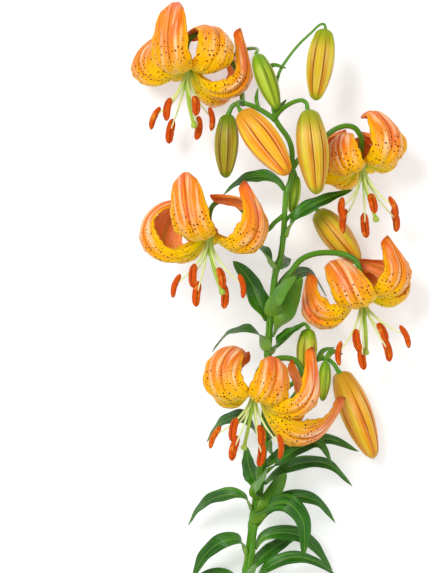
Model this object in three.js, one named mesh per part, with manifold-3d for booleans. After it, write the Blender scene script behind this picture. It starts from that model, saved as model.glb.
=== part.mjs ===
// Turk's-cap (martagon) lily: one cut flowering stem, lying on its back on a flat surface.
// Units are millimetres. +Y runs from the cut end to the flowering top, +Z is up, and the
// lowest petals, the lowest leaf tips and the cut end rest on the surface.
// Every route below is a short list of points [x, y, z] chosen by hand, in one drawing frame
// whose Z is the height above the surface. The whole plant is centred at the end.
import * as THREE from 'three';
import Module from 'manifold-3d';

const wasm = await Module();
wasm.setup();
const { Manifold, Mesh: SolidMesh } = wasm;

// Driving sizes
const clearance = 0.35; // between a bud, bloom or leaf and the stem that carries it
const surface = 0.6; // lowest height of the middle of a blade that is pressed on the surface
const softness = 1.2; // how gradually a blade flattens out as it nears the surface

const bladeThickness = { leaf: 0.9, tepal: 1.1, bract: 1.0 };
const tepalSize = { outerWidth: 21, innerWidth: 29, clawWidth: 4.2, tipWidth: 6, rootRadius: 3.2 };
const tepalCells = { along: 7, across: 4 };
const leafCells = { along: 6, across: 2 };
const receptacle = { radius: 4.2, length: 7 };
const filament = { count: 6, length: 41, radius: 0.75 };
const anther = { length: 17, width: 5.8, depth: 4.2 };
const pistil = { ovaryRadius: 2.1, ovaryLength: 13, styleRadius: 1.25, length: 46, stigmaRadius: 2.4 };

const colours = {
  stem: 0x4f8a2c,
  leaf: 0x1f5a35,
  greenBud: 0x8fae2a,
  orangeBud: 0xe89a2e,
  tepal: 0xf39a1f,
  stamen: 0xc9501c,
};

// The main stem from its top fork to its cut end: [x, y, z, radius]
const stemRoute = [
  [41.5, 118, 60, 1.9], [45, 112.5, 60, 1.9], [51, 104, 60, 1.9], [53.5, 97, 60, 1.9],
  [54, 88.5, 59, 1.9], [53, 75, 58, 1.9], [50, 66, 58, 1.9], [49, 55, 57, 1.9],
  [48, 37, 56, 2], [46, 21.5, 55, 2.1], [42.5, 10, 54, 2.2], [40.5, -6, 52, 2.3],
  [38.5, -25, 50.5, 2.4], [37, -50, 48.5, 2.5], [35.5, -86.5, 45, 2.7], [32, -135, 38, 3.0],
  [27.5, -163, 32, 3.2], [24.5, -189, 25, 3.4], [21, -212, 19, 3.4], [17.5, -250, 10.5, 3.4],
  [14, -291, 3.8, 3.4],
];

// Flower stalks, each from inside its parent to its bud or bloom: radius at root and end
const stalks = {
  bud_1: { radius: [1.9, 1.5], route: [[42, 117, 60], [33, 123, 61], [24.5, 127, 62], [17.5, 128.5, 62],
    [12.5, 126.5, 62], [9.8, 121.5, 62]] },
  bud_2: { radius: [1.5, 1.3], route: [[20, 128.3, 62], [17, 129, 67], [15.5, 127.5, 73], [17.2, 123.2, 78]] },
  bud_3: { radius: [1.8, 1.4], route: [[41.5, 117, 60], [44, 121, 65], [49, 125.5, 71], [56, 129, 79],
    [61, 129.5, 84], [63.8, 127, 86.5], [64.2, 123.5, 86.5]] },
  bud_4: { radius: [1.3, 0.9], route: [[42, 117, 60], [40.5, 127, 57], [42, 137.5, 54], [45.5, 151, 53],
    [51, 160, 53], [59.5, 170.5, 53], [68, 178.5, 53], [73, 183.2, 53], [76, 184.2, 53], [77.6, 182.6, 53]] },
  bloom_1: { radius: [1.8, 1.9], route: [[19, 128.5, 62], [20, 128, 52], [19.4, 130.3, 42], [19, 136, 32.6],
    [18, 143, 31], [15.5, 152, 31], [9.5, 161, 31], [2, 168.5, 31.5], [-5, 174.5, 32.5],
    [-10, 177.5, 33.5], [-14.5, 177, 34], [-18.5, 173.5, 33.5], [-20.3, 167, 32.5]] },
  bud_5: { radius: [1.3, 1.1], route: [[9.5, 161, 31], [16, 165, 26], [22, 167.5, 24], [27, 168, 30],
    [29.5, 167, 42], [29.8, 165.3, 54], [29, 163.6, 63]] },
  bloom_3: { radius: [1.9, 1.9], route: [[53.5, 82, 58.6], [59.5, 90, 58], [68, 98.5, 57], [76.5, 104.5, 55],
    [84.5, 110.5, 46.5], [92.5, 113, 42], [98.5, 111.5, 39], [102.5, 106, 36.5],
    [103.5, 101, 35]] },
  bud_6: { radius: [1.3, 1.0], route: [[52, 71, 58], [53.5, 76, 54], [54.5, 80, 50.5], [56, 81, 48],
    [56.6, 78.6, 47]] },
  bud_7: { radius: [1.4, 1.2], route: [[49, 46, 56.4], [55.5, 52, 50], [62.5, 56.5, 41], [68, 57, 34],
    [71.5, 54.4, 30.6]] },
  bloom_4: { radius: [2.1, 2.0], route: [[42, -6, 52.5], [47.5, 2, 53], [52.5, 9, 55], [60, 18.5, 52],
    [69.5, 22.8, 48], [80.5, 23.8, 44], [91, 22.5, 42], [98.5, 18.5, 43.5], [101.5, 12.5, 44],
    [101.5, 7, 42.6]] },
  bloom_5: { radius: [2.0, 2.0], route: [[35.5, -101, 43.5], [44, -90, 40], [54, -79.5, 41], [60.5, -69, 47],
    [60.5, -59, 56.5], [56.5, -52, 60], [47, -50, 66], [37, -53, 73.5], [31, -58, 80.5]] },
  bud_8: { radius: [1.4, 1.2], route: [[37.5, -46, 49], [47, -39, 45], [57, -29.5, 45.5], [62.5, -26, 47],
    [65.2, -28.4, 48.4]] },
  bud_10: { radius: [1.7, 1.5], route: [[36, -80, 45.5], [49, -73, 37], [62, -61, 37], [72, -51.5, 43],
    [78.5, -51, 43], [83, -54, 42.5], [87, -60, 41.3]] },
  bud_9: { radius: [1.2, 1.1], route: [[72, -51.5, 43], [74.5, -49.5, 45.5], [76.8, -49.8, 47.5], [77.4, -51.8, 48.2]] },
  bloom_2: { radius: [1.6, 1.9], route: [[48.5, 50, 56.8], [42, 45, 55], [36.5, 39.5, 54], [29.5, 41, 55],
    [23.5, 48, 57], [17.5, 55, 61], [11.5, 59, 64], [5, 60, 66], [-0.5, 57.5, 70],
    [-3.6, 51.5, 78]] },
};

// Small bracts at the forks, fused to the stalks: route, width
const bracts = [
  { route: [[41.5, 139, 54], [36, 148, 55], [40, 155, 56], [50, 153, 58]], width: 4 },
  { route: [[41.5, 117, 60], [44, 124, 56], [50, 131, 52]], width: 4 },
  { route: [[78, -51, 47], [82, -46, 49], [89.5, -47.5, 50.5]], width: 4.5 },
  { route: [[31, 124, 61], [29, 131, 57], [30, 139, 52]], width: 3 },
  { route: [[72, -52, 44], [76, -45, 40], [84, -43, 34]], width: 4 },
];

// Buds: base, tip, largest diameter, colour
const buds = {
  bud_1: { base: [9.4, 120.5, 62], tip: [7.5, 76, 62], width: 16.5, colour: 'greenBud' },
  bud_2: { base: [17.9, 122, 79], tip: [51, 78, 79], width: 23, colour: 'orangeBud' },
  bud_3: { base: [64.4, 123, 86.5], tip: [70.5, 64, 86.5], width: 21.5, colour: 'orangeBud' },
  bud_4: { base: [77.4, 180.7, 53], tip: [70.5, 130.5, 53], width: 19, colour: 'orangeBud' },
  bud_5: { base: [28.8, 162.3, 64.8], tip: [43.4, 123.5, 70], width: 14, colour: 'greenBud' },
  bud_6: { base: [56.8, 77.9, 46.8], tip: [53.8, 51.8, 42], width: 9.5, colour: 'greenBud' },
  bud_7: { base: [72.5, 53.6, 30.4], tip: [102, 17, 23], width: 20, colour: 'orangeBud' },
  bud_8: { base: [65.7, -29.8, 48.8], tip: [63.5, -63, 48.5], width: 14.5, colour: 'greenBud' },
  bud_9: { base: [77.6, -52.8, 48.4], tip: [75.5, -80.5, 44], width: 9, colour: 'greenBud' },
  bud_10: { base: [87.6, -60.8, 41.2], tip: [112.5, -121.5, 14], width: 22, colour: 'orangeBud' },
};

// Blooms: where the receptacle sits, where the bloom faces, and its six tepals.
// turn is the tepal's angle round the bloom, in degrees from the side that faces up (+Z)
// towards +X. root and curl are the angles between its root and its tip and the bloom's axis.
// open is 0 for a tepal folded back sharply and 1 for one that curls in a wide loop. twist
// turns its upper face towards the bloom's top, and lean is how far its tip drifts round the
// bloom, in mm. hook is how much further the tip itself bends over, in degrees.
const blooms = {
  bloom_1: {
    at: [-19.3, 153.8, 34.5], faces: [-0.08, -0.91, 0.41], stamenTurn: 20, styleLean: 9,
    tepals: [
      { turn: -19, kind: 'inner', length: 99, root: 44, curl: 190, open: 0.05, twist: 0, lean: -1, hook: 60 },
      { turn: 34, kind: 'inner', length: 100, root: 45, curl: 288, open: 0.5, twist: 10, lean: 4, hook: 0 },
      { turn: 78, kind: 'outer', length: 95, root: 28, curl: 196, open: 0.05, twist: 25, lean: 0, hook: 0 },
      { turn: 124, kind: 'inner', length: 84, root: 28, curl: 205, open: 0.4, twist: 20, lean: 0, hook: 0 },
      { turn: -152, kind: 'outer', length: 66, root: 75, curl: 235, open: 0, twist: 0, lean: -12, hook: 0 },
      { turn: -84, kind: 'inner', length: 80, root: 32, curl: 238, open: 0.4, twist: 30, lean: 0, hook: 0 },
    ],
  },
  bloom_2: {
    at: [-4.2, 36.8, 88], faces: [0, -0.92, 0.39], stamenTurn: 30, styleLean: 10,
    tepals: [
      { turn: -16, kind: 'inner', length: 96, root: 45, curl: 193, open: 0.05, twist: 0, lean: 7, hook: 60 },
      { turn: 60, kind: 'inner', length: 88, root: 28, curl: 206, open: 0.3, twist: 15, lean: 8, hook: 0 },
      { turn: 98, kind: 'outer', length: 100, root: 45, curl: 285, open: 0.5, twist: 0, lean: 0, hook: 0 },
      { turn: -172, kind: 'inner', length: 64, root: 75, curl: 245, open: 0, twist: 0, lean: -15, hook: 0 },
      { turn: -130, kind: 'inner', length: 94, root: 35, curl: 240, open: 0.5, twist: -30, lean: 0, hook: 0 },
      { turn: -95, kind: 'outer', length: 112, root: 10, curl: 310, open: 1, twist: 35, lean: -4, hook: 0 },
    ],
  },
  bloom_3: {
    at: [103.2, 86.5, 36], faces: [0.12, -0.91, 0.4], stamenTurn: 10, styleLean: 5,
    tepals: [
      { turn: 40, kind: 'inner', length: 84, root: 50, curl: 212, open: 0.1, twist: 10, lean: 10, hook: 80 },
      { turn: -28, kind: 'inner', length: 76, root: 28, curl: 240, open: 0.35, twist: 0, lean: 2, hook: 40 },
      { turn: -92, kind: 'outer', length: 84, root: 40, curl: 262, open: 0.5, twist: 0, lean: 0, hook: 0 },
      { turn: -138, kind: 'inner', length: 76, root: 50, curl: 230, open: 0.3, twist: 20, lean: 0, hook: 0 },
      { turn: 164, kind: 'outer', length: 54, root: 75, curl: 260, open: 0, twist: 0, lean: 0, hook: 0 },
      { turn: 108, kind: 'inner', length: 66, root: 60, curl: 260, open: 0.3, twist: 10, lean: 0, hook: 0 },
    ],
  },
  bloom_4: {
    at: [102.2, -5.6, 45], faces: [0.2, -0.89, 0.4], stamenTurn: 25, styleLean: -6,
    tepals: [
      { turn: -3, kind: 'inner', length: 92, root: 28, curl: 216, open: 0.1, twist: 0, lean: 16, hook: 80 },
      { turn: -86, kind: 'inner', length: 76, root: 28, curl: 204, open: 0.35, twist: 35, lean: 4, hook: 0 },
      { turn: -146, kind: 'outer', length: 56, root: 75, curl: 260, open: 0, twist: 0, lean: 0, hook: 0 },
      { turn: 160, kind: 'inner', length: 54, root: 75, curl: 260, open: 0, twist: 0, lean: 0, hook: 0 },
      { turn: 108, kind: 'outer', length: 82, root: 45, curl: 250, open: 0.2, twist: -30, lean: 0, hook: 0 },
      { turn: 60, kind: 'inner', length: 72, root: 50, curl: 197, open: 0.15, twist: 15, lean: 0, hook: 0 },
    ],
  },
  bloom_5: {
    at: [27.6, -72.1, 88], faces: [-0.13, -0.9, 0.42], stamenTurn: 30, styleLean: -2,
    tepals: [
      { turn: -38, kind: 'inner', length: 95, root: 33, curl: 225, open: 0.15, twist: 25, lean: 2, hook: 60 },
      { turn: 20, kind: 'inner', length: 82, root: 28, curl: 215, open: 0.1, twist: 0, lean: -2, hook: 70 },
      { turn: 66, kind: 'outer', length: 92, root: 28, curl: 196, open: 0.25, twist: 20, lean: 4, hook: 0 },
      { turn: 104, kind: 'inner', length: 90, root: 28, curl: 212, open: 0.1, twist: 10, lean: 0, hook: 0 },
      { turn: 112, kind: 'inner', length: 105, root: 28, curl: 162, open: 0.3, twist: 25, lean: -8, hook: 0 },
      { turn: -122, kind: 'inner', length: 78, root: 50, curl: 240, open: 0.2, twist: 20, lean: 0, hook: 0 },
    ],
  },
};

// Leaves: y where it leaves the stem, width, how far its upper side turns to face up,
// and the points that it passes through, tip last
const leaves = [
  { stemY: 66, width: 11, facing: 55, route: [[43, 73, 54], [33, 77, 48], [20, 75, 40], [6, 65, 30]] },
  { stemY: 11.5, width: 9, facing: 20, route: [[48, 17, 40], [50, 21, 26], [51, 17, 14]] },
  { stemY: 34, width: 12, facing: 70, route: [[53, 42, 58], [61, 52, 58], [78, 61, 50], [97, 68, 40]] },
  { stemY: 11.5, width: 13, facing: 60, route: [[38, 17, 60], [33, 26, 54], [26, 31, 44], [18, 34, 34]] },
  { stemY: -25.5, width: 14, facing: 80, route: [[31, -9, 46], [26.5, 1, 43], [20.5, 10, 38], [12.5, 18, 31]] },
  { stemY: -21.5, width: 13, facing: -70, route: [[42.6, -8, 66.6], [50, 2, 75], [57, 7, 82]] },
  { stemY: -36, width: 14, facing: -70, route: [[50, -18, 52], [56, -3, 62], [61, 7, 69]] },
  { stemY: -12, width: 10, facing: 40, route: [[50, 2, 40], [58, 9, 29], [68, 9, 16], [79, -7, 5]] },
  { stemY: -46, width: 13, facing: 50, route: [[33, -36, 56], [24, -31, 60], [10, -33, 52], [-2, -46, 40]] },
  { stemY: -48, width: 9, facing: 60, route: [[46, -37, 56], [54, -31, 60], [64, -26, 58]] },
  { stemY: -150, width: 13, facing: -80, route: [[28, -140, 52], [34, -132, 63], [37, -127, 73]] },
  { stemY: -162, width: 12, facing: -80, route: [[40, -147, 43], [46, -136, 54], [50, -131, 64]] },
  { stemY: -140, width: 10, facing: 45, route: [[46, -131, 36], [59, -125, 36], [78, -125, 32], [97, -141, 20]] },
  { stemY: -132, width: 14, facing: 60, route: [[48, -121, 50], [62, -112, 54], [72, -110, 54], [82, -124, 46]] },
  { stemY: -128, width: 10, facing: 45, route: [[48, -118, 27], [63, -111, 25], [80, -108, 20], [102, -117, 12]] },
  { stemY: -108, width: 9, facing: 50, route: [[37.5, -116, 24], [44, -122, 14], [51, -129, 8]] },
  { stemY: -110, width: 11, facing: 50, route: [[43, -102, 43], [52, -104, 43], [62, -112, 38]] },
  { stemY: -144, width: 12, facing: 70, route: [[27, -135, 30], [24, -126, 24], [22, -113, 16]] },
  { stemY: -169, width: 11, facing: 45, route: [[42, -155, 34], [57, -148, 36], [72, -152, 30], [85, -167, 18]] },
  { stemY: -167, width: 14, facing: 70, route: [[36, -156, 52], [51, -152, 66], [61, -163, 66], [62, -191, 56]] },
  { stemY: -158, width: 12, facing: 50, route: [[21, -149, 38], [8, -147, 36], [-7, -153, 28], [-19, -169, 14]] },
  { stemY: -186, width: 11, facing: 45, route: [[35, -177, 26], [50, -174, 26], [65, -179, 22], [83, -201, 10]] },
  { stemY: -200, width: 11, facing: 30, route: [[37, -189, 16], [51, -180, 8], [62, -176, 2]] },
  { stemY: -189, width: 12, facing: 50, route: [[17, -179, 32], [5, -180, 34], [-8, -191, 28], [-16, -208, 18]] },
  { stemY: -212, width: 11, facing: 50, route: [[36, -200, 25], [52, -192, 26], [69, -194, 22], [86, -205, 12]] },
  { stemY: -217, width: 11, facing: 50, route: [[12, -208, 14], [-1, -205, 10], [-13, -212, 4], [-23, -225, 1]] },
  { stemY: -224, width: 12, facing: -70, route: [[22, -212, 36], [24, -203, 50], [29, -194, 62]] },
  { stemY: -228, width: 11, facing: 50, route: [[29, -221, 12], [43, -218, 8], [59, -224, 3], [74, -238, 1]] },
  { stemY: -231, width: 11, facing: 50, route: [[10, -224, 26], [-1, -222, 32], [-13, -231, 30], [-22, -247, 20]] },
  { stemY: -107, width: 12, facing: 60, route: [[25, -98, 46], [18, -92, 46], [5, -96, 38], [-6, -110, 24]] },
];

const radians = THREE.MathUtils.degToRad;
const mix = THREE.MathUtils.lerp;
const point = (p) => new THREE.Vector3(p[0], p[1], p[2]);
const curveThrough = (points) => new THREE.CatmullRomCurve3(points, false, 'centripetal');

// A smooth hump from 0 at both ends to 1 at peak; a higher power makes it narrower
function hump(s, peak, power) {
  return (s / peak) ** (power * peak) * ((1 - s) / (1 - peak)) ** (power * (1 - peak));
}

// A blade that would sink below the surface lies flat on it instead
function press(p) {
  p.z = surface + softness * Math.log1p(Math.exp((p.z - surface) / softness));
  return p;
}

// A closed body from rings of points, one ring after another, with a fan over each end
function loft(rings) {
  const size = rings[0].length;
  const points = rings.flat();
  const triangles = [];
  for (let i = 0; i + 1 < rings.length; i += 1) {
    for (let j = 0; j < size; j += 1) {
      const a = i * size + j;
      const b = i * size + ((j + 1) % size);
      triangles.push([a, b, a + size], [b, b + size, a + size]);
    }
  }
  const last = (rings.length - 1) * size;
  for (let j = 1; j + 1 < size; j += 1) {
    triangles.push([0, j + 1, j], [last, last + j, last + j + 1]);
  }
  return faceOutwards({ points, triangles });
}

// A closed blade round a grid of mid-surface points, cut into triangles alike on both faces
function blade(grid, thickness) {
  const rows = grid.length;
  const columns = grid[0].length;
  const upper = [];
  const lower = [];
  for (let i = 0; i < rows; i += 1) {
    for (let j = 0; j < columns; j += 1) {
      const along = grid[Math.min(i + 1, rows - 1)][j].clone().sub(grid[Math.max(i - 1, 0)][j]);
      const across = grid[i][Math.min(j + 1, columns - 1)].clone().sub(grid[i][Math.max(j - 1, 0)]);
      const offset = along.cross(across).setLength(thickness / 2);
      upper.push(grid[i][j].clone().add(offset));
      lower.push(grid[i][j].clone().sub(offset));
    }
  }
  const half = rows * columns;
  const triangles = [];
  for (let i = 0; i + 1 < rows; i += 1) {
    for (let j = 0; j + 1 < columns; j += 1) {
      const a = i * columns + j;
      const cell = [[a, a + columns, a + 1], [a + 1, a + columns, a + columns + 1]];
      cell.forEach(([p, q, r]) => triangles.push([p, q, r], [half + p, half + r, half + q]));
    }
  }
  const rim = [];
  for (let j = 0; j < columns; j += 1) rim.push(j);
  for (let i = 1; i < rows; i += 1) rim.push(i * columns + columns - 1);
  for (let j = columns - 2; j >= 0; j -= 1) rim.push((rows - 1) * columns + j);
  for (let i = rows - 2; i > 0; i -= 1) rim.push(i * columns);
  rim.forEach((p, k) => {
    const q = rim[(k + 1) % rim.length];
    triangles.push([p, q, half + q], [p, half + q, half + p]);
  });
  return faceOutwards({ points: upper.concat(lower), triangles });
}

function faceOutwards(shape) {
  let volume = 0;
  shape.triangles.forEach(([a, b, c]) => {
    volume += shape.points[a].dot(shape.points[b].clone().cross(shape.points[c]));
  });
  if (volume < 0) shape.triangles.forEach((t) => t.reverse());
  return shape;
}

// Directions across a curve at each of its samples, carried along it without twist
function carriedFrames(curve, steps, firstSide) {
  const frames = [];
  const side = firstSide.clone();
  for (let i = 0; i <= steps; i += 1) {
    const along = curve.getTangentAt(i / steps);
    side.addScaledVector(along, -side.dot(along)).normalize();
    frames.push({ at: curve.getPointAt(i / steps), along, side: side.clone(), up: along.clone().cross(side) });
  }
  return frames;
}

// A round stem along a route, its radius a function of the share of the way
function tube(points, radiusAt, sides, steps) {
  const curve = curveThrough(points);
  const first = Math.abs(curve.getTangentAt(0).z) < 0.8 ? new THREE.Vector3(0, 0, 1) : new THREE.Vector3(1, 0, 0);
  return loft(carriedFrames(curve, steps, first).map((frame, i) => ring(frame, sides, () => radiusAt(i / steps))));
}

function ring(frame, sides, radiusOf, flatten = 1) {
  return Array.from({ length: sides }, (_, k) => {
    const angle = (2 * Math.PI * k) / sides;
    const radius = radiusOf(angle);
    return frame.at.clone()
      .addScaledVector(frame.side, radius * Math.cos(angle))
      .addScaledVector(frame.up, radius * flatten * Math.sin(angle));
  });
}

function toSolid(shape) {
  const vertProperties = new Float32Array(shape.points.flatMap((p) => [p.x, p.y, p.z]));
  return new Manifold(new SolidMesh({ numProp: 3, vertProperties, triVerts: new Uint32Array(shape.triangles.flat()) }));
}

function fuse(shapes) {
  const joined = shapes.map(toSolid).reduce((whole, part) => whole.add(part));
  const mesh = joined.getMesh();
  return geometryOf(mesh.vertProperties, mesh.triVerts);
}

function geometryOf(positions, indices) {
  const geometry = new THREE.BufferGeometry();
  geometry.setAttribute('position', new THREE.Float32BufferAttribute(positions, 3));
  geometry.setIndex(Array.from(indices));
  geometry.computeVertexNormals();
  return geometry;
}

const geometryFrom = (shape) => geometryOf(shape.points.flatMap((p) => [p.x, p.y, p.z]), shape.triangles.flat());

const plant = new THREE.Group();

function place(name, geometry, colour, roughness) {
  const material = new THREE.MeshStandardMaterial({ color: colours[colour], roughness, metalness: 0 });
  const mesh = new THREE.Mesh(geometry, material);
  mesh.name = name;
  plant.add(mesh);
}

// Stem
const stemCurve = curveThrough(stemRoute.map(point));
const stemSteps = 26;

function stemRadius(share) {
  const position = share * (stemRoute.length - 1);
  const index = Math.min(Math.floor(position), stemRoute.length - 2);
  return mix(stemRoute[index][3], stemRoute[index + 1][3], position - index);
}

// The middle of the stem, its direction towards the top and its radius at a given y
function stemAt(y) {
  let low = 0;
  let high = 1;
  while (high - low > 1e-5) {
    const middle = (low + high) / 2;
    if (stemCurve.getPoint(middle).y > y) low = middle;
    else high = middle;
  }
  return { centre: stemCurve.getPoint(low), top: stemCurve.getTangent(low).negate(), radius: stemRadius(low) };
}

function mainStem() {
  const rings = [];
  const side = new THREE.Vector3(0, 0, 1);
  for (let i = 0; i <= stemSteps; i += 1) {
    const along = stemCurve.getTangent(i / stemSteps);
    side.addScaledVector(along, -side.dot(along)).normalize();
    const frame = { at: stemCurve.getPoint(i / stemSteps), side: side.clone(), up: along.clone().cross(side) };
    rings.push(ring(frame, 8, () => stemRadius(i / stemSteps)));
  }
  return loft(rings);
}

// A flower stalk; one that carries a bloom runs on to just behind its receptacle
function stalk([name, { radius, route }]) {
  const points = route.map(point);
  if (blooms[name]) {
    const { origin, axis } = bloomFrame(blooms[name]);
    const behind = receptacle.length / 2 + clearance;
    [behind + 3, behind].forEach((distance) => points.push(origin.clone().addScaledVector(axis, -distance)));
  }
  return tube(points, (share) => mix(radius[0], radius[1], share), 5, points.length - 1);
}

function ribbon(points, halfWidthAt, firstSide, turnAt, fold, cells) {
  const frames = carriedFrames(curveThrough(points), cells.along, firstSide);
  return frames.map((frame, i) => {
    const share = i / cells.along;
    const side = frame.side.clone().applyAxisAngle(frame.along, turnAt(share));
    const up = frame.along.clone().cross(side);
    const halfWidth = halfWidthAt(share);
    return Array.from({ length: cells.across + 1 }, (_, j) => {
      const across = (2 * j) / cells.across - 1;
      return frame.at.clone()
        .addScaledVector(side, halfWidth * across)
        .addScaledVector(up, halfWidth * fold * Math.abs(across));
    });
  });
}

function bract({ route, width }) {
  const points = route.map(point);
  const halfWidthAt = (share) => 0.6 + (width / 2 - 0.6) * hump(share, 0.4, 1.2);
  const grid = ribbon(points, halfWidthAt, new THREE.Vector3(1, 0, 0), () => 0, 0.2, { along: 4, across: 2 });
  return blade(grid, bladeThickness.bract);
}

place('stem', fuse([mainStem(), ...Object.entries(stalks).map(stalk), ...bracts.map(bract)]), 'stem', 0.55);

// Leaves: lance-shaped, channelled, arching away from the stem
const leafBase = { halfWidth: 2.1, lift: 0.75 };
const leafFold = 0.22;

function leaf({ stemY, width, facing, route }) {
  const stem = stemAt(stemY);
  const outward = point(route[0]).sub(stem.centre);
  outward.addScaledVector(stem.top, -outward.dot(stem.top)).normalize();
  const base = stem.centre.clone()
    .addScaledVector(outward, stem.radius + clearance + bladeThickness.leaf / 2)
    .addScaledVector(stem.top, leafBase.lift);
  const points = [base, ...route.map(point)];
  const side = stem.top.clone().cross(outward);
  const direction = Math.sign(points[points.length - 1].x - base.x) || 1;
  const turnAt = (share) => direction * radians(facing) * THREE.MathUtils.smoothstep(share, 0.02, 0.4);
  const halfWidthAt = (share) => mix(leafBase.halfWidth, 0.6, share) + (width / 2 - 1.5) * hump(share, 0.42, 1.6);
  const grid = ribbon(points, halfWidthAt, side, turnAt, leafFold, leafCells);
  grid.forEach((row) => row.forEach(press));
  return blade(grid, bladeThickness.leaf);
}

leaves.forEach((shape, i) => {
  place(`leaf_${String(i + 1).padStart(2, '0')}`, geometryFrom(leaf(shape)), 'leaf', 0.4);
});

// Buds: six ribs, widest just above the middle, with a blunt tip
const budRings = 6;
const budRib = 0.07;

function bud({ base, tip, width }) {
  const from = point(base);
  const along = point(tip).sub(from);
  const curve = curveThrough([from, from.clone().addScaledVector(along, 0.5), point(tip)]);
  const frames = carriedFrames(curve, budRings, new THREE.Vector3(1, 0.2, 0));
  return loft(frames.map((frame, i) => {
    const share = i / budRings;
    const radius = (width / 2) * (mix(0.26, 0.2, share) + 0.76 * hump(share, 0.47, 1.7));
    return ring(frame, 12, (angle) => radius * (1 + budRib * Math.cos(6 * angle)));
  }));
}

Object.entries(buds).forEach(([name, shape]) => {
  place(name, geometryFrom(bud(shape)), shape.colour, 0.45);
});

// Blooms. outwards(turn) is the direction from the bloom's axis at that angle round it.
function bloomFrame({ at, faces }) {
  const axis = point(faces).normalize();
  const up = new THREE.Vector3(0, 0, 1);
  up.addScaledVector(axis, -up.dot(axis)).normalize();
  const right = up.clone().cross(axis);
  const outwards = (turn) => up.clone().multiplyScalar(Math.cos(radians(turn)))
    .addScaledVector(right, Math.sin(radians(turn)));
  return { origin: point(at), axis, outwards };
}

const tepalFold = { from: 0.04, to: 0.76 };
const tepalTwist = { from: 0.1, to: 0.65 };
const tepalHookFrom = 0.75;
const spineSteps = 72;

// The tepal's midline: it leaves along the bloom's axis and curls back over itself
function tepalSpine(frame, { turn, length, root, curl, open, twist, lean, hook }) {
  const outwards = frame.outwards(turn);
  const round = frame.axis.clone().cross(outwards);
  const at = frame.origin.clone().addScaledVector(outwards, tepalSize.rootRadius);
  const spine = [];
  for (let k = 0; k <= spineSteps; k += 1) {
    const share = k / spineSteps;
    const folded = THREE.MathUtils.smoothstep(share, tepalFold.from, tepalFold.to);
    const hooked = hook * THREE.MathUtils.smoothstep(share, tepalHookFrom, 1);
    const angle = radians(mix(root, curl, mix(folded, share, open)) + hooked);
    const along = frame.axis.clone().multiplyScalar(Math.cos(angle)).addScaledVector(outwards, Math.sin(angle));
    const twisted = radians(twist) * THREE.MathUtils.smoothstep(share, tepalTwist.from, tepalTwist.to);
    const side = round.clone().applyAxisAngle(along, turn > 0 ? -twisted : twisted);
    const face = along.clone().cross(side);
    spine.push({ at: at.clone().addScaledVector(round, lean * share * share), face, side });
    at.addScaledVector(along, length / spineSteps);
  }
  return spine;
}

function tepal(frame, shape, index) {
  const spine = tepalSpine(frame, shape);
  const width = shape.kind === 'inner' ? tepalSize.innerWidth : tepalSize.outerWidth;
  const grid = [];
  for (let i = 0; i <= tepalCells.along; i += 1) {
    const share = i / tepalCells.along;
    const { at, face, side } = spine[Math.round(share * spineSteps)];
    const halfWidth = mix(tepalSize.clawWidth, tepalSize.tipWidth, share) / 2
      + (width / 2 - tepalSize.clawWidth / 2) * hump(share, 0.43, 2);
    const row = [];
    for (let j = 0; j <= tepalCells.across; j += 1) {
      const across = (2 * j) / tepalCells.across - 1;
      const cup = -0.34 * halfWidth * across * across;
      const groove = j * 2 === tepalCells.across ? -0.7 * Math.sin(Math.PI * share) : 0;
      const wave = 1.3 * Math.abs(across) ** 3 * Math.sin(Math.PI * share)
        * Math.sin(5 * Math.PI * share + 2 * index + (across > 0 ? 1.3 : 0));
      row.push(press(at.clone()
        .addScaledVector(side, halfWidth * across * (1 - 0.08 * across * across))
        .addScaledVector(face, cup + groove + wave)));
    }
    grid.push(row);
  }
  return blade(grid, bladeThickness.tepal);
}

function receptacleKnob(frame) {
  const top = frame.origin.clone().addScaledVector(frame.axis, -receptacle.length / 2);
  const end = frame.origin.clone().addScaledVector(frame.axis, receptacle.length / 2 - 2);
  const radiusAt = (share) => receptacle.radius * (0.5 + 0.5 * Math.sqrt(Math.min(1, 2.2 * share)));
  return tube([top, frame.origin.clone(), end], radiusAt, 8, 3);
}

function bloomTepals(bloom) {
  const frame = bloomFrame(bloom);
  return fuse([receptacleKnob(frame), ...bloom.tepals.map((shape, i) => tepal(frame, shape, i))]);
}

const stamenRootRadius = 2.3;

function filamentPoints(frame, turn, flare) {
  const outwards = frame.outwards(turn);
  const along = (distance, reach) => frame.origin.clone()
    .addScaledVector(frame.axis, distance)
    .addScaledVector(outwards, reach);
  const reach = filament.length * Math.sin(radians(flare));
  return [along(3, 1.2), along(14, 3), along(30, 2.6 + 0.38 * reach), along(filament.length * 0.93, reach)];
}

function antherShape(frame, tip, turn, swing) {
  const outwards = frame.outwards(turn);
  const along = frame.axis.clone().addScaledVector(outwards, swing).normalize();
  const start = tip.clone().addScaledVector(along, -anther.length * 0.42);
  const middle = tip.clone().addScaledVector(along, anther.length * 0.1).addScaledVector(outwards, 1.2);
  const end = tip.clone().addScaledVector(along, anther.length * 0.58).addScaledVector(outwards, -0.6);
  const steps = 3;
  const frames = carriedFrames(curveThrough([start, middle, end]), steps, along.clone().cross(outwards));
  return loft(frames.map((f, i) => {
    const radius = (anther.width / 2) * (0.6 + 0.4 * Math.sin((Math.PI * i) / steps) ** 0.5);
    return ring(f, 6, () => radius, anther.depth / anther.width);
  }));
}

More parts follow.
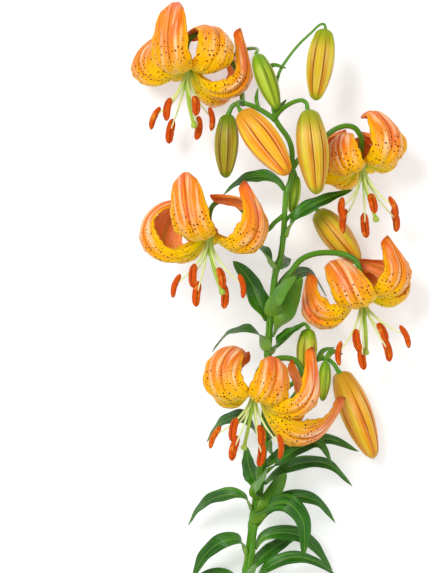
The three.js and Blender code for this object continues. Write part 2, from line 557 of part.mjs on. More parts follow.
function bloomCentre(bloom) {
  const frame = bloomFrame(bloom);
  const shapes = [];
  const root = frame.origin.clone().addScaledVector(frame.axis, 1.9);
  const style = [2, 14, 30, 41, pistil.length].map((distance) => frame.origin.clone()
    .addScaledVector(frame.axis, distance)
    .addScaledVector(frame.outwards(90), (bloom.styleLean * distance ** 2) / pistil.length ** 2));
  const styleRadius = (share) => {
    if (share < pistil.ovaryLength / pistil.length) return pistil.ovaryRadius;
    return share > 0.93 ? pistil.stigmaRadius : pistil.styleRadius;
  };
  shapes.push(tube([root, root.clone().addScaledVector(frame.axis, 1.5)], () => stamenRootRadius, 6, 1));
  shapes.push(tube(style, styleRadius, 5, 5));
  for (let k = 0; k < filament.count; k += 1) {
    const turn = bloom.stamenTurn + (360 * k) / filament.count;
    const flare = 29 + 6 * Math.sin(2.1 * k + bloom.stamenTurn);
    const points = filamentPoints(frame, turn, flare);
    shapes.push(tube(points, () => filament.radius, 4, 2));
    shapes.push(antherShape(frame, points[points.length - 1], turn, 0.2 + 0.15 * Math.cos(1.7 * k)));
  }
  return fuse(shapes);
}

Object.entries(blooms).forEach(([name, bloom]) => {
  place(`${name}_tepals`, bloomTepals(bloom), 'tepal', 0.45);
  place(`${name}_stamens_and_pistil`, bloomCentre(bloom), 'stamen', 0.6);
});

// The origin is the middle of the plant's box, on the surface that it lies on
const box = new THREE.Box3().setFromObject(plant);
const middle = box.getCenter(new THREE.Vector3());
plant.position.set(-middle.x, -middle.y, -box.min.z);

export default plant;
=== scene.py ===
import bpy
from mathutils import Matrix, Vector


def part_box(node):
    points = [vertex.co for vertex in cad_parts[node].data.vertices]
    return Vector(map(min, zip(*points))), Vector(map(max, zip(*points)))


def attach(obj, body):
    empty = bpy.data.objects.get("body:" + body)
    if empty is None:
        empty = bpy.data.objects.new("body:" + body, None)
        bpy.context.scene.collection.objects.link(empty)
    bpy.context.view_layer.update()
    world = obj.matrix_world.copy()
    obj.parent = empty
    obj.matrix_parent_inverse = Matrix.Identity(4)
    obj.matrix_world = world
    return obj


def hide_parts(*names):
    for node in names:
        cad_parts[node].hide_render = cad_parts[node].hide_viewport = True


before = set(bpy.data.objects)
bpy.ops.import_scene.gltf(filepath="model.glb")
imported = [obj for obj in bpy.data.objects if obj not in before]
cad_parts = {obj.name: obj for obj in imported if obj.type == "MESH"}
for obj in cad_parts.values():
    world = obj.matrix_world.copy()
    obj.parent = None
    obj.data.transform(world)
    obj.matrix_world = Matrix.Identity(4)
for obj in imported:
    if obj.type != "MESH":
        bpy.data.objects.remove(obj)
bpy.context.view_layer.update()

import math
from types import SimpleNamespace as Values

import bpy
import numpy as np
from mathutils import Vector

# Cut flowering stem of a Turk's-cap (martagon) lily, lying on its back.
# The tables hold millimetres in a drawing frame: X to the right, Y towards the top of the
# stem, and Z the height above the surface that it lies on. Angles are in degrees. Lengths turn
# into metres in the row frame when a mesh is made. A share s runs along a blade or tube from 0
# at its root to 1 at its tip, and a runs across a blade from -1 to 1.
MM = 0.001

# Gap that seats a piece on what carries it
CLEARANCE = 0.35

# A blade that comes down to the surface lies at this height, and bends onto it this softly
SURFACE = 0.6
SOFTNESS = 1.2

# Ribs of the stem, its swollen nodes where leaves leave it, and the flared ends of its stalks, in
# shares of the radius. A spread or reach is a share of the length.
STEM = Values(rows=320, sides=32, rib=0.02, fine_rib=0.01)
NODE = Values(swelling=0.12, most=0.18, spread=0.0035)
STALK = Values(root_flare=0.35, root_reach=0.03, end_flare=0.22, end_reach=0.035)

# Half widths of a blade at its root and tip, and plain, about what these two alone give its
# widest place. A bract has no rounded tip, so its blunt is 1. LEAF_LIFT is how far above its
# node a leaf starts.
BRACT = Values(rows=28, columns=9, root=0.6, tip=0.25, plain=0.6, widest=0.4, power=1.2, blunt=1,
               thickness=0.95, thinning=0.5, tip_thickness=1, fold=0.25, ripple=0.2, waves=9,
               other_side=0)
LEAF = Values(rows=60, columns=21, root=2.9, tip=0.25, plain=1.7, widest=0.42, power=1.3,
              blunt=0.02, thickness=0.9, thinning=0.495, tip_thickness=0.7, fold=0.28, ripple=0.5,
              waves=23, other_side=1.7)
LEAF_LIFT = 0.75

# Relief of a bud in shares of its radius. seam_at is a place across a sixth of it, from 0 on
# the keel of an outer tepal to 1 on the keel of an inner one, and turn is in radians to a
# millimetre, so that no two buds show the same side. A collar's root and end are multiples of
# its stalk's radius.
BUD = Values(belly_at=0.47, turn=0.05, keel=0.07, inner_keel=0.042, panel=0.03, step=0.03,
             lobe=0.13, seam=0.06, seam_at=0.62)
BUD_PROFILE = Values(root=0.38, tip=0.26, belly=0.67, root_end=0.5, tip_end=0.3)
BUD_COLLAR = Values(root=1.22, end=1.6, depth=2.5)

# A tepal is its claw's width at its root. Its thickness is less at its margins, and at its root
# and tip it is a multiple of the middle's.
TEPAL = Values(count=6, steps=72, columns=33, claw=4.2, tip=8.5, root_radius=3.2, widest=0.43)
TEPAL_WIDTH = {"outer": 21, "inner": 29}
TEPAL_THICKNESS = Values(middle=1.1, edge_thinning=0.6, root=1.15, tip=0.8)

# Shares of a tepal's length over which it folds back, twists and bends over at its tip
TEPAL_FOLD = (0.04, 0.76)
TEPAL_TWIST = (0.1, 0.65)
TEPAL_HOOK = (0.75, 1)

# Relief of a tepal in millimetres, apart from the cups, in shares of the half width, the nicks,
# in shares of the reach, and the place and width of the midrib's lines, in shares across
RELIEF = Values(cup=0.34, tip_cup=0.5, groove=1.0, ridge=0.55, ridge_at=0.3, line=0.12,
                folds=0.2, wave=1.3, ruffle=0.5, nicks=0.03)
RECEPTACLE = Values(radius=4.2, length=7)

# The disc that the filaments stand on starts a little above a bloom's middle. A filament's root
# and tip are multiples of its radius, and grooves, grain, ribs and lobes are shares of theirs.
STAMEN_ROOT = Values(radius=2.3, start=1.9, height=1.5)
FILAMENT = Values(count=6, length=41, radius=0.75, root=1.5, tip=0.7)
ANTHER = Values(length=18.3, width=6.1, depth=4.4, groove=0.2, grain=0.02)
PISTIL = Values(length=46, ovary_length=13, ovary_radius=2.1, ovary_rib=0.06, style_radius=1.25,
                stigma_radius=2.1, stigma_lobe=0.16)

# A bud's ends turn later from green to orange than its middle
ENDS_TURN_LATE = 4

# The main stem from its top fork to its cut end: x, y, z and radius
STEM_ROUTE = [
    (41.5, 118, 60, 1.9), (45, 112.5, 60, 1.9), (51, 104, 60, 1.9), (53.5, 97, 60, 1.9),
    (54, 88.5, 59, 1.9), (53, 75, 58, 1.9), (50, 66, 58, 1.9), (49, 55, 57, 1.9), (48, 37, 56, 2),
    (46, 21.5, 55, 2.1), (42.5, 10, 54, 2.2), (40.5, -6, 52, 2.3), (38.5, -25, 50.5, 2.4),
    (37, -50, 48.5, 2.5), (35.5, -86.5, 45, 2.7), (32, -135, 38, 3), (27.5, -163, 32, 3.2),
    (24.5, -189, 25, 3.4), (21, -212, 19, 3.4), (17.5, -250, 10.5, 3.4), (14, -291, 3.8, 3.4),
]


def stalk(root, end, *route):
    """One flower stalk: its radius at both ends, and its way from inside its parent."""
    return {"radius": (root, end), "route": route}


STALKS = {
    "bud_1": stalk(
        1.9, 1.5, (42, 117, 60), (33, 123, 61), (24.5, 127, 62), (17.5, 128.5, 62),
        (12.5, 126.5, 62), (9.8, 121.5, 62)),
    "bud_2": stalk(
        1.5, 1.3, (20, 128.3, 62), (17, 129, 67), (15.5, 127.5, 73), (17.2, 123.2, 78)),
    "bud_3": stalk(
        1.8, 1.4, (41.5, 117, 60), (44, 121, 65), (49, 125.5, 71), (56, 129, 79), (61, 129.5, 84),
        (63.8, 127, 86.5), (64.2, 123.5, 86.5)),
    "bud_4": stalk(
        1.3, 0.9, (42, 117, 60), (40.5, 127, 57), (42, 137.5, 54), (45.5, 151, 53), (51, 160, 53),
        (59.5, 170.5, 53), (68, 178.5, 53), (73, 183.2, 53), (76, 184.2, 53), (77.6, 182.6, 53)),
    "bloom_1": stalk(
        1.8, 1.9, (19, 128.5, 62), (20, 128, 52), (19.4, 130.3, 42), (19, 136, 32.6),
        (18, 143, 31), (15.5, 152, 31), (9.5, 161, 31), (2, 168.5, 31.5), (-5, 174.5, 32.5),
        (-10, 177.5, 33.5), (-14.5, 177, 34), (-18.5, 173.5, 33.5), (-20.3, 167, 32.5)),
    "bud_5": stalk(
        1.3, 1.1, (9.5, 161, 31), (16, 165, 26), (22, 167.5, 24), (27, 168, 30), (29.5, 167, 42),
        (29.8, 165.3, 54), (29, 163.6, 63)),
    "bloom_3": stalk(
        1.9, 1.9, (53.5, 82, 58.6), (59.5, 90, 58), (68, 98.5, 57), (76.5, 104.5, 55),
        (84.5, 110.5, 46.5), (92.5, 113, 42), (98.5, 111.5, 39), (102.5, 106, 36.5),
        (103.5, 101, 35)),
    "bud_6": stalk(
        1.3, 1, (52, 71, 58), (53.5, 76, 54), (54.5, 80, 50.5), (56, 81, 48), (56.6, 78.6, 47)),
    "bud_7": stalk(
        1.4, 1.2, (49, 46, 56.4), (55.5, 52, 50), (62.5, 56.5, 41), (68, 57, 34),
        (71.5, 54.4, 30.6)),
    "bloom_4": stalk(
        2.1, 2, (42, -6, 52.5), (47.5, 2, 53), (52.5, 9, 55), (60, 18.5, 52), (69.5, 22.8, 48),
        (80.5, 23.8, 44), (91, 22.5, 42), (98.5, 18.5, 43.5), (101.5, 12.5, 44), (101.5, 7, 42.6)),
    "bloom_5": stalk(
        2, 2, (35.5, -101, 43.5), (44, -90, 40), (54, -79.5, 41), (60.5, -69, 47),
        (60.5, -59, 56.5), (56.5, -52, 60), (47, -50, 66), (37, -53, 73.5), (31, -58, 80.5)),
    "bud_8": stalk(
        1.4, 1.2, (37.5, -46, 49), (47, -39, 45), (57, -29.5, 45.5), (62.5, -26, 47),
        (65.2, -28.4, 48.4)),
    "bud_10": stalk(
        1.7, 1.5, (36, -80, 45.5), (49, -73, 37), (62, -61, 37), (72, -51.5, 43), (78.5, -51, 43),
        (83, -54, 42.5), (87, -60, 41.3)),
    "bud_9": stalk(
        1.2, 1.1, (72, -51.5, 43), (74.5, -49.5, 45.5), (76.8, -49.8, 47.5), (77.4, -51.8, 48.2)),
    "bloom_2": stalk(
        1.6, 1.9, (48.5, 50, 56.8), (42, 45, 55), (36.5, 39.5, 54), (29.5, 41, 55),
        (23.5, 48, 57), (17.5, 55, 61), (11.5, 59, 64), (5, 60, 66), (-0.5, 57.5, 70),
        (-3.6, 51.5, 78)),
}

# Small leaves at the forks
BRACTS = [
    {"width": 4, "route": [(41.5, 139, 54), (36, 148, 55), (40, 155, 56), (50, 153, 58)]},
    {"width": 4, "route": [(41.5, 117, 60), (44, 124, 56), (50, 131, 52)]},
    {"width": 4.5, "route": [(78, -51, 47), (82, -46, 49), (89.5, -47.5, 50.5)]},
    {"width": 3, "route": [(31, 124, 61), (29, 131, 57), (30, 139, 52)]},
    {"width": 4, "route": [(72, -52, 44), (76, -45, 40), (84, -43, 34)]},
]


def bud(base, tip, width, ripeness, shade=1.0):
    """One bud: its root and its tip, its width, how far it has turned from green, 0, to orange,
    1, and a shade below one where it is darker."""
    slot = "orange_bud" if ripeness > 0.5 else "green_bud"
    return {"base": base, "tip": tip, "width": width, "slot": slot, "ripeness": ripeness,
            "shade": shade}


BUDS = {
    "bud_1": bud((9.4, 120.5, 62), (7.5, 76, 62), 16.5, 0.4, shade=0.64),
    "bud_2": bud((17.9, 122, 79), (51, 78, 79), 23, 1.0),
    "bud_3": bud((64.4, 123, 86.5), (70.5, 64, 86.5), 21.5, 0.68),
    "bud_4": bud((77.4, 180.7, 53), (70.5, 130.5, 53), 19, 0.6),
    "bud_5": bud((28.8, 162.3, 64.8), (43.4, 123.5, 70), 14, 0.1),
    "bud_6": bud((56.8, 77.9, 46.8), (53.8, 51.8, 42), 9.5, 0.0),
    "bud_7": bud((72.5, 53.6, 30.4), (102, 17, 23), 20, 0.75),
    "bud_8": bud((65.7, -29.8, 48.8), (63.5, -63, 48.5), 14.5, 0.25),
    "bud_9": bud((77.6, -52.8, 48.4), (75.5, -80.5, 44), 9, 0.05),
    "bud_10": bud((87.6, -60.8, 41.2), (112.5, -121.5, 14), 22, 0.95),
}


def tepal(turn, kind, length, root, curl, loose, twist=0, lean=0, hook=0):
    """One tepal, turn degrees round its bloom from the bloom's top towards +X. Its root and
    its tip make the angles root and curl with the bloom's axis. It folds back sharply where
    loose is 0 and curls in a wide loop where it is 1. It is twisted by twist degrees towards
    the bloom's top, drifts round it by lean mm, and its tip bends over by hook degrees more."""
    return {"turn": turn, "kind": kind, "length": length, "root": root, "curl": curl,
            "loose": loose, "twist": twist, "lean": lean, "hook": hook}


def bloom(at, faces, stamen_turn, style_lean, *tepals):
    """One bloom: its middle, the way it faces, the turn of its first stamen, how many mm its
    stigma leans towards +X, and its tepals."""
    return {"at": at, "faces": faces, "stamen_turn": stamen_turn, "style_lean": style_lean,
            "tepals": tepals}


BLOOMS = {
    "bloom_1": bloom(
        (-19.3, 153.8, 34.5), (-0.08, -0.91, 0.41), 20, 9,
        tepal(-19, "inner", 99, 44, 190, 0.05, lean=-1, hook=60),
        tepal(34, "inner", 101, 45, 288, 0.5, twist=10, lean=4),
        tepal(78, "outer", 95, 28, 196, 0.05, twist=25),
        tepal(124, "inner", 84, 28, 205, 0.4, twist=20),
        tepal(-152, "outer", 66, 75, 235, 0, lean=-12),
        tepal(-84, "inner", 80, 32, 238, 0.4, twist=30)),
    "bloom_2": bloom(
        (-4.2, 36.8, 88), (0, -0.92, 0.39), 30, 10,
        tepal(-16, "inner", 96, 45, 193, 0.05, lean=7, hook=60),
        tepal(60, "inner", 88, 28, 206, 0.3, twist=15, lean=8),
        tepal(98, "outer", 102, 45, 277, 0.5),
        tepal(-172, "inner", 64, 75, 245, 0, lean=-15),
        tepal(-130, "inner", 94, 35, 240, 0.5, twist=-30),
        tepal(-95, "outer", 112, 10, 310, 1, twist=35, lean=-4)),
    "bloom_3": bloom(
        (103.2, 86.5, 36), (0.12, -0.91, 0.4), 10, 5,
        tepal(40, "inner", 84, 50, 212, 0.1, twist=10, lean=10, hook=80),
        tepal(-28, "inner", 76, 28, 240, 0.35, lean=2, hook=40),
        tepal(-92, "outer", 84, 40, 262, 0.5),
        tepal(-138, "inner", 76, 50, 230, 0.3, twist=20),
        tepal(164, "outer", 54, 75, 260, 0),
        tepal(108, "inner", 66, 60, 260, 0.3, twist=10)),
    "bloom_4": bloom(
        (102.2, -5.6, 45), (0.2, -0.89, 0.4), 25, -6,
        tepal(-3, "inner", 92, 28, 216, 0.1, lean=16, hook=80),
        tepal(-86, "inner", 76, 28, 204, 0.35, twist=35, lean=4),
        tepal(-146, "outer", 56, 75, 260, 0),
        tepal(160, "inner", 58, 75, 260, 0),
        tepal(108, "outer", 82, 45, 250, 0.2, twist=-30),
        tepal(60, "inner", 72, 50, 197, 0.15, twist=15)),
    "bloom_5": bloom(
        (27.6, -72.1, 88), (-0.13, -0.9, 0.42), 30, -2,
        tepal(-38, "inner", 95, 33, 225, 0.15, twist=25, lean=2, hook=60),
        tepal(20, "inner", 82, 28, 215, 0.1, lean=-2, hook=70),
        tepal(66, "outer", 92, 28, 196, 0.25, twist=20, lean=4),
        tepal(104, "inner", 90, 28, 212, 0.1, twist=10),
        tepal(112, "inner", 105, 28, 162, 0.3, twist=25, lean=-8),
        tepal(-122, "inner", 78, 50, 240, 0.2, twist=20)),
}


def leaf(stem_y, width, facing, *route):
    """One leaf: the height where it leaves the stem, its width, how many degrees its upper
    side turns to face up, and the points that it passes through, tip last."""
    return {"stem_y": stem_y, "width": width, "facing": facing, "route": list(route)}


LEAVES = [
    leaf(66, 11, 55, (43, 73, 54), (33, 77, 48), (20, 75, 40), (6, 65, 30)),
    leaf(11.5, 9, 20, (48, 17, 40), (50, 21, 26), (51, 17, 14)),
    leaf(34, 12, 70, (53, 42, 58), (61, 52, 58), (78, 61, 50), (97, 68, 40)),
    leaf(11.5, 13, 60, (38, 17, 60), (33, 26, 54), (26, 31, 44), (18, 34, 34)),
    leaf(-25.5, 14, 80, (31, -9, 46), (26.5, 1, 43), (20.5, 10, 38), (12.5, 18, 31)),
    leaf(-21.5, 13, -70, (42.6, -8, 66.6), (50, 2, 75), (57, 7, 82)),
    leaf(-36, 14, -70, (50, -18, 52), (56, -3, 62), (61, 7, 69)),
    leaf(-12, 10, 40, (50, 2, 40), (58, 9, 29), (68, 9, 16), (79, -7, 5)),
    leaf(-46, 13, 50, (33, -36, 56), (24, -31, 60), (10, -33, 52), (-2, -46, 40)),
    leaf(-48, 9, 60, (46, -37, 56), (54, -31, 60), (64, -26, 58)),
    leaf(-150, 13, -80, (28, -140, 52), (34, -132, 63), (37, -127, 73)),
    leaf(-162, 12, -80, (40, -147, 43), (46, -136, 54), (50, -131, 64)),
    leaf(-140, 10, 45, (46, -131, 36), (59, -125, 36), (78, -125, 32), (97, -141, 20)),
    leaf(-132, 14, 60, (48, -121, 50), (62, -112, 54), (72, -110, 54), (82, -124, 46)),
    leaf(-128, 10, 45, (48, -118, 27), (63, -111, 25), (80, -108, 20), (102, -117, 12)),
    leaf(-108, 9, 50, (37.5, -116, 24), (44, -122, 14), (51, -129, 8)),
    leaf(-110, 11, 50, (43, -102, 43), (52, -104, 43), (62, -112, 38)),
    leaf(-144, 12, 70, (27, -135, 30), (24, -126, 24), (22, -113, 16)),
    leaf(-169, 11, 45, (42, -155, 34), (57, -148, 36), (72, -152, 30), (85, -167, 18)),
    leaf(-167, 14, 70, (36, -156, 52), (51, -152, 66), (61, -163, 66), (62, -191, 56)),
    leaf(-158, 12, 50, (21, -149, 38), (8, -147, 36), (-7, -153, 28), (-19, -169, 14)),
    leaf(-186, 11, 45, (35, -177, 26), (50, -174, 26), (65, -179, 22), (83, -201, 10)),
    leaf(-200, 11, 30, (37, -189, 16), (51, -180, 8), (62, -176, 2)),
    leaf(-189, 12, 50, (17, -179, 32), (5, -180, 34), (-8, -191, 28), (-16, -208, 18)),
    leaf(-212, 11, 50, (36, -200, 25), (52, -192, 26), (69, -194, 22), (86, -205, 12)),
    leaf(-217, 11, 50, (12, -208, 14), (-1, -205, 10), (-13, -212, 4), (-23, -225, 1)),
    leaf(-224, 12, -70, (22, -212, 36), (24, -203, 50), (29, -194, 62)),
    leaf(-228, 11, 50, (29, -221, 12), (43, -218, 8), (59, -224, 3), (74, -238, 1)),
    leaf(-231, 11, 50, (10, -224, 26), (-1, -222, 32), (-13, -231, 30), (-22, -247, 20)),
    leaf(-107, 12, 60, (25, -98, 46), (18, -92, 46), (5, -96, 38), (-6, -110, 24)),
]


# Numbers
def lerp(a, b, t):
    return a + (b - a) * t


def smoothstep(x, low, high):
    t = np.clip((x - low) / (high - low), 0, 1)
    return t * t * (3 - 2 * t)


def hump(s, peak, power):
    """0 at both ends of 0..1 and 1 at the peak."""
    s = np.clip(s, 0, 1)
    return (s / peak) ** (power * peak) * ((1 - s) / (1 - peak)) ** (power * (1 - peak))


def round_end(s, start, least):
    """1 up to start, then a quarter ellipse down to the square root of least at 1."""
    return np.sqrt(np.clip(1 - (np.clip((s - start) / (1 - start), 0, 1)) ** 2, least, 1))


def bell(s, centre, width):
    return np.exp(-((s - centre) / width) ** 2)


def unit(v):
    v = np.asarray(v, float)
    return v / np.linalg.norm(v, axis=-1, keepdims=True)


def turned(v, axis, angle):
    """Rows of v turned about rows of a unit axis, by radians."""
    angle = np.asarray(angle, float)[..., None]
    return (v * np.cos(angle) + np.cross(axis, v) * np.sin(angle)
            + axis * np.sum(axis * v, axis=-1, keepdims=True) * (1 - np.cos(angle)))


def press(points):
    """A blade that would sink below the surface lies flat on it instead."""
    points = points.copy()
    height = (points[..., 2] - SURFACE) / SOFTNESS
    points[..., 2] = SURFACE + SOFTNESS * np.logaddexp(0, height)
    return points


# Curves
def catmull(points, t):
    """Centripetal Catmull-Rom curve through the points, at t from 0 to 1."""
    points = np.asarray(points, float)
    last = len(points) - 1
    before, after = 2 * points[0] - points[1], 2 * points[-1] - points[-2]
    padded = np.vstack([before, points, after])
    place = np.clip(np.asarray(t, float), 0, 1) * last
    index = np.minimum(place.astype(int), last - 1)
    w = (place - index)[:, None]
    p0, p1, p2, p3 = (padded[index + k] for k in range(4))
    d0, d1, d2 = (np.maximum(np.linalg.norm(b - a, axis=1, keepdims=True), 1e-4) ** 0.5
                  for a, b in ((p0, p1), (p1, p2), (p2, p3)))
    t1 = ((p1 - p0) / d0 - (p2 - p0) / (d0 + d1) + (p2 - p1) / d1) * d1
    t2 = ((p2 - p1) / d1 - (p3 - p1) / (d1 + d2) + (p3 - p2) / d2) * d1
    square = -3 * p1 + 3 * p2 - 2 * t1 - t2
    cube = 2 * p1 - 2 * p2 + t1 + t2
    return p1 + t1 * w + square * w * w + cube * w ** 3


def along_curve(points, shares):
    """Places and directions at shares of a curve's length, and the length."""
    dense = catmull(points, np.linspace(0, 1, 600))
    steps = np.linalg.norm(np.diff(dense, axis=0), axis=1)
    travelled = np.concatenate([[0], np.cumsum(steps)])
    want = np.asarray(shares) * travelled[-1]
    reach = travelled[-1] / 300

    def at(distance):
        return np.stack([np.interp(distance, travelled, dense[:, k]) for k in range(3)], 1)

    return at(want), unit(at(want + reach) - at(want - reach)), travelled[-1]


def carried(tangents, first):
    """Two directions across a curve, carried along it without twist."""
    side = np.asarray(first, float)
    sides = []
    for tangent in tangents:
        side = unit(side - np.dot(side, tangent) * tangent)
        sides.append(side)
    sides = np.array(sides)
    return sides, np.cross(tangents, sides)


# Solids
class Body:
    """Points, faces, two UV maps and material numbers of one piece, in drawing millimetres.
    Share runs 0..1 across and along each blade or tube, with 2 added across on a blade's lower
    face. Size is the same in millimetres, shifted so that no two blades carry the same marks."""

    def __init__(self, name, slot, looks):
        self.name, self.slot, self.looks = name, slot, looks
        self.points, self.faces, self.share, self.size, self.look = [], [], [], [], []
        self.count = 0

    def add(self, points, faces, share, size, look):
        self.points.append(points)
        self.faces += [tuple(int(i) + self.count for i in face) for face in faces]
        self.share.append(share)
        self.size.append(size)
        self.look += [look] * len(faces)
        self.count += len(points)


def grid_faces(rows, columns, closed, flipped=False, start=0):
    faces = []
    for i in range(rows - 1):
        for j in range(columns if closed else columns - 1):
            a = start + i * columns + j
            b = start + i * columns + (j + 1) % columns
            quad = (a, b, b + columns, a + columns)
            faces.append(quad[::-1] if flipped else quad)
    return faces


def add_blade(body, middle, thickness, along_mm, across_mm, shift, look=0):
    """A closed blade round a grid of mid-surface points."""
    rows, columns = middle.shape[:2]
    normal = unit(np.cross(np.gradient(middle, axis=0), np.gradient(middle, axis=1)))
    half = 0.5 * np.broadcast_to(thickness, (rows, columns))[..., None] * normal
    count = rows * columns
    faces = grid_faces(rows, columns, False, True) + grid_faces(rows, columns, False, False, count)
    rim = list(range(columns)) + [i * columns + columns - 1 for i in range(1, rows)]
    rim += [(rows - 1) * columns + j for j in range(columns - 2, -1, -1)]
    rim += [i * columns for i in range(rows - 2, 0, -1)]
    for here, ahead in zip(rim, rim[1:] + rim[:1]):
        faces.append((here, ahead, count + ahead, count + here))
    u = np.broadcast_to(np.linspace(0, 1, columns)[None, :], (rows, columns))
    v = np.broadcast_to(np.linspace(0, 1, rows)[:, None], (rows, columns))
    upper = np.stack([u, v], -1).reshape(-1, 2)
    share = np.concatenate([upper, upper + [2, 0]])
    size = np.stack([across_mm + shift, along_mm], -1).reshape(-1, 2)
    points = np.concatenate([(middle + half).reshape(-1, 3), (middle - half).reshape(-1, 3)])
    body.add(points, faces, share, np.concatenate([size, size]), look)


def add_loft(body, place, side, up, radius, flat, length, shift, look, across=None):
    """A closed round solid: radius holds one row of lengths for each place along it."""
    rows, sides = radius.shape
    angle = np.linspace(0, 2 * np.pi, sides, endpoint=False)
    ring = (place[:, None] + side[:, None] * (radius * np.cos(angle))[..., None]
            + up[:, None] * (radius * flat * np.sin(angle))[..., None])
    start, end, last = rows * sides, rows * sides + 1, (rows - 1) * sides
    faces = grid_faces(rows, sides, True)
    for j in range(sides):
        k = (j + 1) % sides
        faces += [(start, k, j), (end, last + j, last + k)]
    shares = np.linspace(0, 1, rows)
    # Across runs 0..1..0 round the solid, so that it has no seam
    fold = 1 - np.abs(angle / np.pi - 1) if across is None else across(angle)
    u = np.broadcast_to(fold, radius.shape)
    v = np.broadcast_to(shares[:, None], radius.shape)
    share = np.concatenate([np.stack([u, v], -1).reshape(-1, 2), [[0.5, 0], [0.5, 1]]])
    size = share * [np.pi * radius.mean(), length] + [shift, 0]
    points = np.concatenate([ring.reshape(-1, 3), place[:1], place[-1:]])
    body.add(points, faces, share, size, look)


def add_tube(body, points, radius_at, sides, steps, first=None, flat=1.0, shape=None, shift=0.0,
             look=0, across=None):
    """A closed round solid along a route. shape(angle, share) multiplies its radius."""
    shares = np.linspace(0, 1, steps + 1)
    place, tangent, length = along_curve(points, shares)
    if first is None:
        first = (0, 0, 1) if abs(tangent[0][2]) < 0.8 else (1, 0, 0)
    side, up = carried(tangent, first)
    angle = np.linspace(0, 2 * np.pi, sides, endpoint=False)
    radius = np.repeat(np.asarray(radius_at(shares), float)[:, None], sides, axis=1)
    if shape is not None:
        radius = radius * shape(angle[None, :], shares[:, None])
    add_loft(body, place, side, up, radius, flat, length, shift, look, across)


# Stem, with its stalks and bracts
STEM_POINTS = np.array([row[:3] for row in STEM_ROUTE], float)
STEM_RADII = np.array([row[3] for row in STEM_ROUTE], float)


def stem_radius(t):
    last = len(STEM_RADII) - 1
    return np.interp(np.asarray(t, float) * last, np.arange(last + 1), STEM_RADII)


def stem_at(y):
    """The stem's middle at a height y, its direction towards the top, its radius and its t."""
    low, high = 0.0, 1.0
    while high - low > 1e-5:
        middle = (low + high) / 2
        if catmull(STEM_POINTS, [middle])[0][1] > y:
            low = middle
        else:
            high = middle
    here, ahead, behind = catmull(STEM_POINTS, [low, min(low + 1e-3, 1), max(low - 1e-3, 0)])
    return here, unit(behind - ahead), float(stem_radius(low)), low


def bloom_axes(row):
    """A bloom's middle, the way it faces, and a function of the directions round it."""
    axis = unit(row["faces"])
    up = unit(np.array([0, 0, 1.0]) - axis[2] * axis)
    right = np.cross(up, axis)

    def outwards(turn):
        return up * math.cos(math.radians(turn)) + right * math.sin(math.radians(turn))

    return np.array(row["at"], float), axis, outwards


def stalk_points(name):
    """A stalk's route. A bloom's stalk ends straight behind its receptacle."""
    points = [list(point) for point in STALKS[name]["route"]]
    if name in BLOOMS:
        origin, axis, _ = bloom_axes(BLOOMS[name])
        behind = RECEPTACLE.length / 2 + CLEARANCE
        points += [list(origin - axis * distance) for distance in (behind + 3, behind)]
    return points


def add_leafy(body, form, width, points, first, turn_at, phase, shift, look=0):
    """A leaf's or bract's blade, folded along its midrib and rippled along its margins."""
    shares = np.linspace(0, 1, form.rows)
    place, tangent, length = along_curve(points, shares)
    side, _ = carried(tangent, first)
    side = turned(side, tangent, turn_at(shares))
    up = np.cross(tangent, side)
    s, a = shares[:, None], np.linspace(-1, 1, form.columns)[None, :]
    extra = (width / 2 - form.plain) * hump(s, form.widest, form.power)
    half = (lerp(form.root, form.tip, s) + extra) * round_end(s, 0.93, form.blunt)
    wave = np.sin(form.waves * s + phase + np.where(a > 0, form.other_side, 0))
    ripple = form.ripple * a ** 2 * np.sin(np.pi * s) * wave
    lift = half * form.fold * (np.sqrt(a ** 2 + 0.02) - 0.14) + ripple
    grid = place[:, None] + side[:, None] * (half * a)[..., None] + up[:, None] * lift[..., None]
    thickness = (form.thickness - form.thinning * a ** 4) * lerp(1.0, form.tip_thickness, s)
    along_mm = np.broadcast_to(s * length, lift.shape)
    add_blade(body, press(grid), thickness, along_mm, half * a, shift, look)


def add_main_stem(body):
    t = np.linspace(0, 1, STEM.rows)
    nodes = [stem_at(row["stem_y"])[3] for row in LEAVES]
    swelling = sum(NODE.swelling * bell(t, node, NODE.spread) for node in nodes)
    place = catmull(STEM_POINTS, t)
    tangent = unit(np.gradient(place, axis=0))
    side, up = carried(tangent, (0, 0, 1))
    angle = np.linspace(0, 2 * np.pi, STEM.sides, endpoint=False)
    ribs = 1 + STEM.rib * np.cos(5 * angle) + STEM.fine_rib * np.cos(11 * angle + 1)
    radius = (stem_radius(t) * (1 + np.minimum(swelling, NODE.most)))[:, None] * ribs[None, :]
    length = np.linalg.norm(np.diff(place, axis=0), axis=1).sum()
    add_loft(body, place, side, up, radius, 1.0, length, 0.0, 0)


def add_stalk(body, name, shift):
    root, end = STALKS[name]["radius"]

    def radius_at(s):
        near_root = STALK.root_flare * np.exp(-s / STALK.root_reach)
        near_end = STALK.end_flare * np.exp(-(1 - s) / STALK.end_reach)
        return lerp(root, end, s) * (1 + near_root) * (1 + near_end)

    add_tube(body, stalk_points(name), radius_at, sides=20, steps=96, shift=shift)


def stem_body():
    body = Body("stem", "stem", ["stem", "leaf"])
    add_main_stem(body)
    for index, name in enumerate(STALKS):
        add_stalk(body, name, 40.0 * (index + 1))
    for index, row in enumerate(BRACTS):
        add_leafy(body, BRACT, row["width"], row["route"], (1, 0, 0), np.zeros_like, index,
                  50.0 * index, look=1)
    return body


